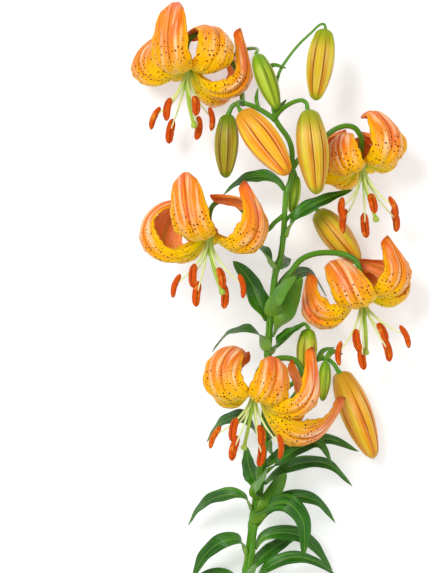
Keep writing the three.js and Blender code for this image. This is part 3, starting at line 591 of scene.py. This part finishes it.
# Leaves
def leaf_body(index, row):
    centre, top, radius, _ = stem_at(row["stem_y"])
    outward = np.array(row["route"][0], float) - centre
    outward = unit(outward - np.dot(outward, top) * top)
    away = radius + CLEARANCE + LEAF.thickness / 2
    base = centre + outward * away + top * LEAF_LIFT
    points = [list(base)] + row["route"]
    facing = np.sign(points[-1][0] - base[0]) * math.radians(row["facing"])
    body = Body("leaf_%02d" % (index + 1), "leaf", ["leaf"])
    add_leafy(body, LEAF, row["width"], points, np.cross(top, outward),
              lambda s: facing * smoothstep(s, 0.02, 0.4), 1.3 * index, 60.0 * index)
    return body


# Buds
def bud_keel(angle):
    """0 at the keel of each of the three outer tepals and 1 half way between them."""
    third = np.mod(angle, 2 * np.pi / 3) / (2 * np.pi / 3)
    return np.abs(third - 0.5) * 2


def bud_body(name, row):
    base, tip = np.array(row["base"], float), np.array(row["tip"], float)
    turn = BUD.turn * (base[0] + base[1])

    def radius_at(s):
        profile = lerp(BUD_PROFILE.root, BUD_PROFILE.tip, s)
        profile = profile + BUD_PROFILE.belly * hump(s, BUD.belly_at, 1.6)
        ends = (lerp(BUD_PROFILE.root_end, 1, round_end(1 - s, 0.94, 0))
                * lerp(BUD_PROFILE.tip_end, 1, round_end(s, 0.93, 0)))
        return np.maximum(row["width"] / 2 * profile * ends, 0.2)

    def relief(angle, s):
        """Keels of the outer three tepals, a seam either side, and the inner three between."""
        outer = bud_keel(angle + turn)
        thirds = np.cos(3 * (angle + turn) + np.pi)
        fade = smoothstep(s, 0, 0.1) * smoothstep(s, 1, 0.95)
        keels = BUD.keel * bell(outer, 0, 0.13) + BUD.inner_keel * bell(outer, 1, 0.1)
        panels = BUD.panel * thirds - BUD.seam * bell(outer, BUD.seam_at, 0.05)
        step = BUD.step * smoothstep(outer, BUD.seam_at + 0.02, BUD.seam_at - 0.02)
        lobes = BUD.lobe * (bell(s, 0.03, 0.06) + bell(s, 0.99, 0.05)) * thirds
        return 0.98 + fade * (keels + panels + step) + lobes

    body = Body(name, row["slot"], [name, "stem"])
    joint, neck = np.array(STALKS[name]["route"][-1], float), STALKS[name]["radius"][1]
    collar = [joint, (joint + base) / 2, base + unit(tip - base) * BUD_COLLAR.depth]
    add_tube(body, collar, lambda s: neck * lerp(BUD_COLLAR.root, BUD_COLLAR.end, s),
             sides=24, steps=8, look=1)
    add_tube(body, [base, (base + tip) / 2, tip], radius_at, sides=150, steps=72,
             first=(1, 0.2, 0), shape=relief, shift=30.0 * len(name) + base[0],
             across=lambda angle: bud_keel(angle + turn))
    return body


# Blooms
def tepal_spine(origin, axis, outwards, row):
    """Places down the middle of a tepal, the way its upper face looks there, and its side."""
    out = outwards(row["turn"])
    round_way = np.cross(axis, out)
    at = origin + out * TEPAL.root_radius
    places, faces, sides = [], [], []
    for step in range(TEPAL.steps + 1):
        s = step / TEPAL.steps
        folded = smoothstep(s, *TEPAL_FOLD)
        angle = math.radians(lerp(row["root"], row["curl"], lerp(folded, s, row["loose"]))
                             + row["hook"] * smoothstep(s, *TEPAL_HOOK))
        along = axis * math.cos(angle) + out * math.sin(angle)
        twist = math.radians(row["twist"]) * smoothstep(s, *TEPAL_TWIST)
        side = turned(round_way, along, float(-twist if row["turn"] > 0 else twist))
        places.append(at + round_way * row["lean"] * s * s)
        faces.append(np.cross(along, side))
        sides.append(side)
        at = at + along * row["length"] / TEPAL.steps
    return np.array(places), np.array(faces), np.array(sides)


def tepal_lift(s, a, half, index, number):
    """Height of a tepal's relief over its spine: its cup, hooded at the tip, the groove of its
    midrib with a ridge each side, lengthwise folds, and the waves and ruffle of its margins."""
    swell = np.sin(np.pi * s)
    right = np.where(a > 0, 1.0, 0.0)
    line, ridge_at = RELIEF.line, RELIEF.ridge_at
    tip_cup = RELIEF.tip_cup * smoothstep(s, 0.8, 0.98)
    cup = -(RELIEF.cup + tip_cup) * half * a ** 2
    groove = -RELIEF.groove * swell * bell(a, 0, line)
    ridges = RELIEF.ridge * swell * (bell(a, ridge_at, line) + bell(a, -ridge_at, line))
    folds = RELIEF.folds * swell * np.sin(21 * a + 3 * np.sin(2.5 * s + index))
    long_waves = np.sin(5 * np.pi * s + 2 * index + 1.3 * right)
    wave = RELIEF.wave * np.abs(a) ** 3 * swell * long_waves
    short_waves = np.sin((17 + 2 * index) * np.pi * s + 1.7 * index + number + 0.9 * right)
    ruffle = RELIEF.ruffle * np.abs(a) ** 6 * swell * short_waves
    return cup + groove + ridges + folds + wave + ruffle


def add_tepal(body, axes, row, index, number):
    places, faces, sides = tepal_spine(*axes, row)
    s = np.linspace(0, 1, TEPAL.steps + 1)[:, None]
    a = np.linspace(-1, 1, TEPAL.columns)[None, :]
    claw = TEPAL.claw
    extra = (TEPAL_WIDTH[row["kind"]] / 2 - claw / 2) * hump(s, TEPAL.widest, 2)
    half = (lerp(claw, TEPAL.tip, s) / 2 + extra) * round_end(s, 0.94, 0.03)
    lift = tepal_lift(s, a, half, index, number)
    notches = a ** 4 * np.sin(np.pi * s) * np.sin((11 + index) * np.pi * s + number)
    reach = half * a * (1 - 0.08 * a ** 2) * (1 + RELIEF.nicks * notches)
    grid = press(places[:, None] + sides[:, None] * reach[..., None]
                 + faces[:, None] * lift[..., None])
    thickness = TEPAL_THICKNESS.middle * (1 - TEPAL_THICKNESS.edge_thinning * a ** 4)
    thickness = thickness * lerp(TEPAL_THICKNESS.root, TEPAL_THICKNESS.tip, s)
    along_mm = np.broadcast_to(s * row["length"], lift.shape)
    shift = 90.0 * (TEPAL.count * number + index) + 17
    add_blade(body, grid, thickness, along_mm, half * a, shift)


def tepals_body(number, name, row):
    """The six tepals of a bloom and the receptacle that they grow from."""
    axes = bloom_axes(row)
    origin, axis, _ = axes
    body = Body(name + "_tepals", "tepal", ["tepal", "stem"])
    top = origin - axis * RECEPTACLE.length / 2
    end = origin + axis * (RECEPTACLE.length / 2 - 2)

    def radius_at(s):
        return RECEPTACLE.radius * (0.5 + 0.5 * np.sqrt(np.minimum(1, 2.2 * s)))

    add_tube(body, [top, origin, end], radius_at, sides=24, steps=12, shift=20.0 * number,
             look=1)
    for index, tepal_row in enumerate(row["tepals"]):
        add_tepal(body, axes, tepal_row, index, number)
    return body


def add_stamen_root(body, axes):
    origin, axis, _ = axes
    root = origin + axis * STAMEN_ROOT.start
    height = STAMEN_ROOT.height
    add_tube(body, [root, root + axis * height / 2, root + axis * height],
             lambda s: np.full_like(s, STAMEN_ROOT.radius), sides=24, steps=3, look=1)


def add_pistil(body, axes, lean):
    """Ovary, style and three-lobed stigma. The stigma leans lean mm towards +X."""
    origin, axis, outwards = axes
    whole = PISTIL.length
    middle = [origin + axis * d + outwards(90) * lean * (d / whole) ** 2
              for d in (2, whole * 0.3, whole * 0.6, whole * 0.85, whole)]
    ovary = PISTIL.ovary_length / whole

    def radius_at(s):
        above_ovary = smoothstep(s, ovary - 0.03, ovary + 0.1)
        shaft = lerp(PISTIL.ovary_radius, PISTIL.style_radius, above_ovary)
        knob = (PISTIL.stigma_radius - PISTIL.style_radius) * smoothstep(s, 0.88, 0.95)
        return (shaft + knob) * round_end(s, 0.96, 0.1)

    def lobes(angle, s):
        stigma = PISTIL.stigma_lobe * np.cos(3 * angle) * smoothstep(s, 0.88, 0.95)
        ribs = PISTIL.ovary_rib * np.cos(6 * angle) * smoothstep(s, ovary + 0.05, ovary)
        return 1 + stigma + ribs

    add_tube(body, middle, radius_at, sides=30, steps=72, shape=lobes, shift=9, look=1)


def add_stamen(body, axes, turn, order, shift):
    """One filament, arched outwards at an angle of its own, and its anther."""
    origin, axis, outwards = axes
    out = outwards(turn)
    whole = FILAMENT.length
    reach = whole * math.sin(math.radians(29 + 6 * math.sin(2.1 * order + turn - 60 * order)))
    places = ((3, 1.2), (whole * 0.3, 3), (whole * 0.64, 2.6 + 0.38 * reach),
              (whole * 0.93, reach))
    points = [origin + axis * distance + out * away for distance, away in places]
    add_tube(body, points,
             lambda s: FILAMENT.radius * lerp(FILAMENT.root, FILAMENT.tip, s),
             sides=14, steps=28, shift=shift)
    along = unit(axis + out * (0.2 + 0.15 * math.cos(1.7 * order)))
    tip, length = points[-1], ANTHER.length
    line = [tip - along * length * 0.42, tip + along * length * 0.1 + out * 1.2,
            tip + along * length * 0.58 - out * 0.6]

    def radius_at(s):
        return ANTHER.width / 2 * np.clip(1 - np.abs(2 * s - 1) ** 3.4, 0.06, 1) ** 0.5

    def halves(angle, s):
        """Two pollen sacs, with a groove down both faces."""
        face = np.mod(angle, np.pi) - np.pi / 2
        grain = ANTHER.grain * np.sin(23 * s + 5 * angle)
        return 1 - ANTHER.groove * bell(face, 0, 0.26) + grain

    add_tube(body, line, radius_at, sides=36, steps=36, first=np.cross(along, out), shape=halves,
             flat=ANTHER.depth / ANTHER.width, shift=shift, look=2)


def centre_body(number, name, row):
    body = Body(name + "_stamens_and_pistil", "stamen", ["filament", "pistil", "anther"])
    axes = bloom_axes(row)
    add_stamen_root(body, axes)
    add_pistil(body, axes, row["style_lean"])
    for order in range(FILAMENT.count):
        turn = row["stamen_turn"] + 360 * order / FILAMENT.count
        add_stamen(body, axes, turn, order, 13.0 * (order + FILAMENT.count * number))
    return body


# Materials
def colour(text):
    """Linear RGBA from a hex sRGB colour."""
    parts = [int(text[i:i + 2], 16) / 255 for i in (0, 2, 4)]
    return [p / 12.92 if p <= 0.04045 else ((p + 0.055) / 1.055) ** 2.4 for p in parts] + [1.0]


class Nodes:
    """Short names for building a material's node tree."""

    def __init__(self, name, roughness, subsurface=0.0, specular=0.5):
        self.material = bpy.data.materials.new(name)
        self.material.use_nodes = True
        self.tree = self.material.node_tree
        self.shader = self.tree.nodes["Principled BSDF"]
        self.shader.inputs["Roughness"].default_value = roughness
        self.shader.inputs["Specular IOR Level"].default_value = specular
        self.shader.inputs["Subsurface Weight"].default_value = subsurface
        self.shader.inputs["Subsurface Radius"].default_value = (1.0, 0.5, 0.15)
        self.shader.inputs["Subsurface Scale"].default_value = 0.003

    def node(self, kind, **settings):
        node = self.tree.nodes.new("ShaderNode" + kind)
        for key, value in settings.items():
            setattr(node, key, value)
        return node

    def put(self, socket, value):
        if hasattr(value, "links"):
            self.tree.links.new(value, socket)
        else:
            socket.default_value = colour(value) if isinstance(value, str) else value

    def fed(self, kind, inputs, **settings):
        """A node with the inputs that are named or numbered here set or linked."""
        node = self.node(kind, **settings)
        for key, value in inputs.items():
            self.put(node.inputs[key], value)
        return node

    def uv(self, name):
        parts = self.fed("SeparateXYZ", {0: self.node("UVMap", uv_map=name).outputs[0]})
        return parts.outputs[0], parts.outputs[1]

    def math(self, operation, a, b=0.0):
        return self.fed("Math", {0: a, 1: b}, operation=operation).outputs[0]

    def times(self, *values):
        product = values[0]
        for value in values[1:]:
            product = self.math("MULTIPLY", product, value)
        return product

    def span(self, value, low, high, to_low=0.0, to_high=1.0):
        """The value's place between low and high, eased, as a share of to_low..to_high."""
        inputs = {"Value": value, "From Min": low, "From Max": high, "To Min": to_low,
                  "To Max": to_high}
        return self.fed("MapRange", inputs, interpolation_type="SMOOTHSTEP").outputs[0]

    def vector(self, x, y, z=0.0):
        return self.fed("CombineXYZ", {0: x, 1: y, 2: z}).outputs[0]

    def noise(self, vector, detail=2.0, roughness=0.5, scale=1.0):
        inputs = {"Vector": vector, "Scale": scale, "Detail": detail, "Roughness": roughness}
        return self.fed("TexNoise", inputs).outputs[0]

    def streaks(self, x, y, across, along, detail=2.0):
        """Noise with its own number of waves per millimetre each way."""
        return self.noise(self.vector(self.times(x, across), self.times(y, along)), detail)

    def moved(self, value, noise, reach):
        """A value moved up and down by a noise."""
        return self.math("ADD", value, self.times(self.math("SUBTRACT", noise, 0.5), reach))

    def ramp(self, value, stops):
        node = self.node("ValToRGB")
        elements = node.color_ramp.elements
        while len(elements) < len(stops):
            elements.new(0.5)
        for element, (place, text) in zip(elements, stops):
            element.position = place
            element.color = colour(text)
        self.put(node.inputs[0], value)
        return node.outputs[0]

    def mix(self, share, a, b):
        return self.fed("Mix", {"Factor": share, 6: a, 7: b}, data_type="RGBA").outputs[2]

    def over(self, base, top, cover, strength):
        """The top colour laid over the base where cover is 1, at this strength."""
        return self.mix(self.times(cover, strength), base, top)

    def bump(self, height, strength, distance):
        node = self.fed("Bump", {"Strength": strength, "Distance": distance, "Height": height})
        self.put(self.shader.inputs["Normal"], node.outputs[0])

    def blade(self):
        """Share along a blade, from its midrib to its edge, and 1 on its lower face."""
        u, v = self.uv("Share")
        back = self.math("GREATER_THAN", u, 1.5)
        face = self.math("SUBTRACT", u, self.times(back, 2.0))
        side = self.math("ABSOLUTE", self.math("SUBTRACT", self.times(face, 2.0), 1.0))
        return v, side, back

    def done(self, base):
        self.put(self.shader.inputs["Base Color"], base)
        return self.material


# Yellow at the throat to orange, and brown at the very tip
TEPAL_FRONT = [(0.0, "A9B808"), (0.07, "EED400"), (0.22, "FAC800"), (0.4, "F8B000"),
               (0.56, "F69C08"), (0.74, "F28E1C"), (0.9, "E8741C"), (1.0, "B4480C")]
TEPAL_REAR = [(0.0, "9CAC10"), (0.12, "DEB410"), (0.35, "F0A01C"), (0.65, "F49A4C"),
              (0.9, "F08A44"), (1.0, "C05C20")]
# Pale streaks are partly painted highlight, and the midrib's dark line partly painted shade in its
# groove
TEPAL_TINTS = Values(orange="EE8A24", salmon="F26E44", pale="FDD0A0", deep="DC5604",
                     edge="F9BA00", midrib="A84408", throat="9CB410", rim="A24E08",
                     tip="7E3410", spot="6C1602", rear_streak="FAC08A", rear_rib="A89820")

# Spots by millimetre: cells across and along, and the least and greatest radius in cells
SPOTS = Values(across=0.4, along=0.34, least=0.13, greatest=0.29, share=0.62, shown_above=0.88)


def spots(m, x, y, v, side):
    """1 in the dark spots, which crowd the inner half of a tepal away from its margins."""
    grid = m.vector(m.times(x, SPOTS.across), m.times(y, SPOTS.along))
    cells = m.fed("TexVoronoi", {"Vector": grid, "Scale": 1.0, "Randomness": 0.95},
                  voronoi_dimensions="2D")
    own = m.fed("SeparateColor", {0: cells.outputs["Color"]})
    radius = m.span(own.outputs[0], 0.2, 1.0, SPOTS.least, SPOTS.greatest)
    inside = m.span(m.math("SUBTRACT", radius, cells.outputs["Distance"]), 0.0, 0.05)
    zone = m.times(m.span(v, 0.08, 0.18), m.span(v, 0.72, 0.5), m.span(side, 0.99, 0.86))
    chance = m.math("ADD", own.outputs[1], m.times(zone, SPOTS.share))
    return m.times(inside, m.math("GREATER_THAN", chance, SPOTS.shown_above), zone)


def tepal_material():
    tint = TEPAL_TINTS
    m = Nodes("tepal", 0.34, subsurface=0.3, specular=0.13)
    v, side, back = m.blade()
    x, y = m.uv("Size")
    broad = m.streaks(x, y, 0.3, 0.022)
    fine = m.streaks(x, y, 1.1, 0.035)
    place = m.moved(v, m.streaks(x, y, 0.09, 0.05, 3.0), 0.3)
    front = m.ramp(place, TEPAL_FRONT)

    # Salmon and orange blotches in the middle of the outer half
    blotch = m.span(m.streaks(x, y, 0.11, 0.035), 0.42, 0.6)
    middle = m.times(m.span(side, 0.78, 0.25), m.span(place, 0.36, 0.66))
    front = m.over(front, m.mix(blotch, tint.orange, tint.salmon), middle, 0.78)

    # Pale broad streaks either side of the midrib, partly the tepal's own colour and partly
    # painted highlight, and deep narrow ones all over
    pale = m.times(m.span(broad, 0.46, 0.62), m.span(side, 0.04, 0.16), m.span(side, 0.82, 0.5))
    pale = m.times(pale, m.span(v, 0.3, 0.52), m.span(v, 0.95, 0.75))
    front = m.over(front, tint.pale, pale, 0.85)
    deep = m.times(m.span(fine, 0.47, 0.34), m.span(v, 0.32, 0.62))
    front = m.over(front, tint.deep, deep, 0.7)

    # Yellow margin, dark midrib line, partly its own colour and partly painted shade in the
    # midrib's groove, green nectary furrow, brown rim and tip
    margin = m.times(m.span(side, 0.74, 0.93), m.span(v, 0.98, 0.7))
    front = m.over(front, tint.edge, margin, 0.7)
    # Dark midrib line: partly painted shade in the midrib's groove
    rib = m.times(m.span(side, 0.06, 0.015), m.span(v, 0.3, 0.5))
    front = m.over(front, tint.midrib, rib, 0.7)
    throat = m.times(m.span(side, 0.2, 0.04), m.span(v, 0.3, 0.1))
    front = m.over(front, tint.throat, throat, 0.6)
    broken = m.span(m.streaks(x, y, 0.2, 0.45), 0.4, 0.62, 0.35, 0.9)
    rim = m.times(m.span(side, 0.945, 0.995), broken)
    front = m.mix(rim, front, tint.rim)
    point = m.times(m.span(v, 0.94, 0.99), m.span(side, 0.95, 0.3))
    front = m.over(front, tint.tip, point, 0.75)
    front = m.mix(spots(m, x, y, v, side), front, tint.spot)

    rear = m.ramp(place, TEPAL_REAR)
    rear = m.over(rear, tint.rear_streak, m.span(fine, 0.5, 0.66), 0.6)
    rear = m.over(rear, tint.rear_rib, m.span(side, 0.12, 0.02), 0.5)
    rear = m.over(rear, tint.rim, rim, 0.7)

    ridge = m.streaks(x, y, 0.8, 0.03, 1.0)
    grain = m.streaks(x, y, 2.2, 2.2)
    m.bump(m.math("ADD", ridge, m.times(grain, 0.14)), 0.8, 0.0009)
    return m.done(m.mix(back, front, rear))


LEAF_TOP = [(0.0, "64A41E"), (0.16, "35780A"), (0.5, "1A5203"), (0.85, "2C6C08"), (1.0, "50861A")]
LEAF_LOWER = [(0.0, "7CAC2C"), (0.5, "4E8C1C"), (1.0, "609424")]


def leaf_material():
    """Dark upper face with a paler midrib, fine parallel veins and painted sheen streaks, and a
    paler lower face.
    """
    m = Nodes("leaf", 0.24, subsurface=0.02, specular=0.38)
    v, side, back = m.blade()
    x, y = m.uv("Size")
    place = m.moved(v, m.streaks(x, y, 0.12, 0.06, 3.0), 0.6)
    vein = m.math("ABSOLUTE", m.math("SINE", m.times(side, 15.0)))
    top = m.ramp(place, LEAF_TOP)
    # Painted sheen: lighter lengthwise streaks that stand in for glossy highlights
    top = m.over(top, "54981E", m.span(m.streaks(x, y, 0.5, 0.02), 0.5, 0.68), 0.55)
    top = m.over(top, "4C8A1E", m.span(vein, 0.25, 0.0), 0.5)
    top = m.over(top, "86B03C", m.span(side, 0.09, 0.0), 0.65)
    low = m.ramp(place, LEAF_LOWER)
    low = m.over(low, "9AC04C", m.span(vein, 0.3, 0.0), 0.35)
    grain = m.streaks(x, y, 1.5, 1.5)
    m.bump(m.math("ADD", vein, m.times(grain, 0.4)), 0.6, 0.0005)
    return m.done(m.mix(back, top, low))


def stem_material():
    """Lengthwise green streaks, with darker blotches."""
    m = Nodes("stem", 0.34, subsurface=0.03, specular=0.32)
    u, _ = m.uv("Share")
    x, y = m.uv("Size")
    streak = m.streaks(u, y, 14.0, 0.03, 3.0)
    base = m.ramp(streak, [(0.25, "34700E"), (0.5, "508C18"), (0.75, "88AE30")])
    blotch = m.span(m.streaks(x, y, 0.1, 0.05, 3.0), 0.5, 0.75, 0.0, 0.5)
    m.bump(streak, 0.5, 0.0004)
    return m.done(m.mix(blotch, base, "2E5E10"))


# Each of a bud's colours while it is green and when it has turned orange. Pale streaks on a
# bud are partly its own colour and partly painted highlight.
BUD_TINTS = {
    "keel": ("A6C22C", "EAC42A"), "flank": ("74A014", "F29C14"), "streak": ("4C7608", "DE6410"),
    "inner": ("86AC18", "F2AE20"), "seam": ("30500A", "862E06"), "pale": ("B8D648", "FBC27C"),
}
BUD_ENDS = ("6C9E16", "D6921C")


def blend(pair, share, shade):
    """Linear RGBA between two hex colours, darkened where the shade is below one."""
    first, second = colour(pair[0]), colour(pair[1])
    return [lerp(a, b, share) * shade for a, b in zip(first, second)][:3] + [1.0]


def bud_material(name, row):
    """Across a bud, u is 0 on the keel of an outer tepal and 1 on the keel of an inner one."""
    ripeness, shade = row["ripeness"], row["shade"]
    tint = {part: blend(pair, ripeness, shade) for part, pair in BUD_TINTS.items()}
    ends = blend(BUD_ENDS, ripeness ** ENDS_TURN_LATE, shade)
    m = Nodes(name, 0.32, subsurface=0.05, specular=0.2)
    u, v = m.uv("Share")
    x, y = m.uv("Size")
    fine = m.streaks(x, y, 1.0, 0.04, 3.0)
    soft = m.moved(u, m.streaks(x, y, 0.35, 0.03), 0.5)
    u = m.moved(u, fine, 0.05)

    # Outer tepals from keel to flank, and the inner ones beyond the seam
    base = m.mix(m.span(soft, 0.1, 0.3), tint["keel"], tint["flank"])
    dark = m.times(m.span(soft, 0.28, 0.55), m.span(v, 0.15, 0.5))
    base = m.over(base, tint["streak"], dark, 0.8)
    base = m.mix(m.span(u, BUD.seam_at, BUD.seam_at + 0.05), base, tint["inner"])
    base = m.over(base, tint["flank"], m.span(fine, 0.52, 0.66), 0.45)
    base = m.over(base, tint["keel"], m.span(u, 0.93, 0.99), 0.7)

    # Pale lengthwise streaks, partly the bud's own colour and partly painted highlight, dark
    # lengthwise streaks, the seams, and the two ends
    light = m.times(m.span(m.streaks(x, y, 0.26, 0.03), 0.47, 0.62), m.span(v, 0.1, 0.3))
    light = m.times(light, m.span(v, 0.96, 0.75))
    base = m.over(base, tint["pale"], light, 0.45)
    base = m.over(base, tint["streak"], m.span(fine, 0.46, 0.34), 0.35)
    from_seam = m.math("ABSOLUTE", m.math("SUBTRACT", u, BUD.seam_at))
    base = m.over(base, tint["seam"], m.span(from_seam, 0.06, 0.015), 0.85)
    base = m.mix(m.span(v, 0.32, 0.03, 0.0, 0.85), base, ends)
    base = m.mix(m.span(v, 0.86, 0.99, 0.0, 0.8), base, ends)
    m.bump(fine, 0.5, 0.0006)
    return m.done(base)


def plain_plant(name, root, tip, roughness):
    """Cloudy colour from root to tip, for filaments and pistils."""
    m = Nodes(name, roughness, subsurface=0.05, specular=0.25)
    u, v = m.uv("Share")
    x, y = m.uv("Size")
    cloud = m.noise(m.vector(m.times(u, 6.0), m.times(y, 0.05), m.times(x, 0.02)), 3.0)
    m.bump(cloud, 0.4, 0.0003)
    share = m.math("ADD", m.times(v, 0.6), m.times(cloud, 0.4))
    return m.done(m.ramp(share, [(0.1, root), (0.8, tip)]))


def anther_material():
    """Rust-red pollen grain with paler clouds and a dark groove."""
    m = Nodes("anther", 0.55, specular=0.1)
    u, _ = m.uv("Share")
    x, y = m.uv("Size")
    powder = m.noise(m.vector(m.times(u, 6.0), y, x), 4.0, 0.7, 1.4)
    cloud = m.noise(m.vector(u, m.times(y, 0.1), m.times(x, 0.08)), 2.0, 0.5, 1.5)
    base = m.ramp(powder, [(0.3, "A03202"), (0.5, "CC4C04"), (0.72, "EC7014")])
    base = m.over(base, "F4A63A", m.span(cloud, 0.55, 0.72), 0.5)
    groove = m.span(m.math("ABSOLUTE", m.math("SUBTRACT", u, 0.5)), 0.09, 0.0)
    base = m.over(base, "5A1A00", groove, 0.75)
    m.bump(powder, 0.8, 0.0005)
    return m.done(base)


LOOKS = {
    "tepal": tepal_material(),
    "leaf": leaf_material(),
    "stem": stem_material(),
    "filament": plain_plant("filament", "B4D060", "E6ECB4", 0.35),
    "pistil": plain_plant("pistil", "86B234", "A9C24A", 0.35),
    "anther": anther_material(),
}
LOOKS.update({name: bud_material(name, row) for name, row in BUDS.items()})


# Pieces. The drawing frame is placed in the row frame by the boxes of the CAD nodes.
def drawn_middle(body):
    points = np.vstack(body.points)
    return (points.min(0) + points.max(0)) / 2


def cad_middle(name):
    low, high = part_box(name)
    return np.array((low + high) / 2) / MM


def make_piece(body, shift):
    mesh = bpy.data.meshes.new(body.name)
    points = (np.vstack(body.points) + shift) * MM
    mesh.from_pydata(points.tolist(), [], body.faces)
    corner = np.zeros(len(mesh.loops), int)
    mesh.loops.foreach_get("vertex_index", corner)
    for layer_name, values in (("Share", np.vstack(body.share)), ("Size", np.vstack(body.size))):
        layer = mesh.uv_layers.new(name=layer_name)
        layer.uv.foreach_set("vector", values[corner].astype(np.float32).ravel())
    for look in body.looks:
        mesh.materials.append(LOOKS[look])
    mesh.polygons.foreach_set("material_index", body.look)
    mesh.polygons.foreach_set("use_smooth", [True] * len(mesh.polygons))
    mesh.update()
    piece = bpy.data.objects.new(body.name + "_look", mesh)
    bpy.context.scene.collection.objects.link(piece)
    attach(piece, "root")
    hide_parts(body.name)


bodies = [stem_body()]
bodies += [leaf_body(index, row) for index, row in enumerate(LEAVES)]
bodies += [bud_body(name, row) for name, row in BUDS.items()]
for number, (name, row) in enumerate(BLOOMS.items()):
    bodies += [tepals_body(number, name, row), centre_body(number, name, row)]

SHIFT = np.median([cad_middle(body.name) - drawn_middle(body) for body in bodies], axis=0)
for body in bodies:
    make_piece(body, SHIFT)


# Floor, light and camera, in metres. The camera looks straight down at the middle of the
# drawing frame, and its view is VIEW_SPAN across its longer side at FOCUS_HEIGHT.
VIEW_HEIGHT = 4.0
VIEW_SPAN = 0.4011
FOCUS_HEIGHT = 0.06
SENSOR = 36.0
FLOOR = Values(size=6.0, steps=24, height=-0.0004, glow=0.42)
WORLD_LIGHT = 0.36


def add_floor():
    line = np.linspace(-FLOOR.size / 2, FLOOR.size / 2, FLOOR.steps)
    xs, ys = np.meshgrid(line, line)
    points = np.stack([xs.ravel(), ys.ravel(), np.full(xs.size, FLOOR.height)], 1)
    mesh = bpy.data.meshes.new("floor")
    mesh.from_pydata(points.tolist(), [], grid_faces(FLOOR.steps, FLOOR.steps, False))
    mesh.update()
    m = Nodes("floor", 0.9, specular=0.1)
    m.shader.inputs["Emission Color"].default_value = (1, 1, 1, 1)
    m.shader.inputs["Emission Strength"].default_value = FLOOR.glow
    cloud = m.noise(m.node("TexCoord").outputs["Object"], 2.0, 0.5, 3.0)
    mesh.materials.append(m.done(m.ramp(cloud, [(0.3, "D2D2D2"), (0.7, "D8D8D8")])))
    floor = bpy.data.objects.new("floor", mesh)
    bpy.context.scene.collection.objects.link(floor)


def add_area(name, place, target, size, power):
    light = bpy.data.lights.new(name, "AREA")
    light.shape = "RECTANGLE"
    light.size = size
    light.size_y = size
    light.energy = power
    lamp = bpy.data.objects.new(name, light)
    bpy.context.scene.collection.objects.link(lamp)
    lamp.location = place
    lamp.rotation_euler = (Vector(target) - Vector(place)).to_track_quat("-Z", "Y").to_euler()


add_floor()
add_area("key", place=(-1.0, 1.0, 2.6), target=(0, 0, 0.05), size=1.0, power=58)
add_area("fill", place=(1.2, -1.3, 2.2), target=(0, 0, 0.05), size=1.6, power=19)
add_area("top", place=(0.3, -0.2, 5.2), target=(0, 0, 0), size=3.0, power=46)

world = bpy.data.worlds.new("studio")
world.use_nodes = True
world.node_tree.nodes["Background"].inputs["Color"].default_value = (1, 1, 1, 1)
world.node_tree.nodes["Background"].inputs["Strength"].default_value = WORLD_LIGHT
bpy.context.scene.world = world
bpy.context.scene.view_settings.view_transform = "Standard"

lens = bpy.data.cameras.new("photo")
lens.sensor_width = SENSOR
lens.lens = SENSOR * VIEW_HEIGHT / VIEW_SPAN
lens.clip_start = 0.05
lens.clip_end = 20
camera = bpy.data.objects.new("photo", lens)
bpy.context.scene.collection.objects.link(camera)
camera.location = (SHIFT[0] * MM, SHIFT[1] * MM, FOCUS_HEIGHT + VIEW_HEIGHT)
camera.rotation_euler = (0, 0, 0)
bpy.context.scene.camera = camera
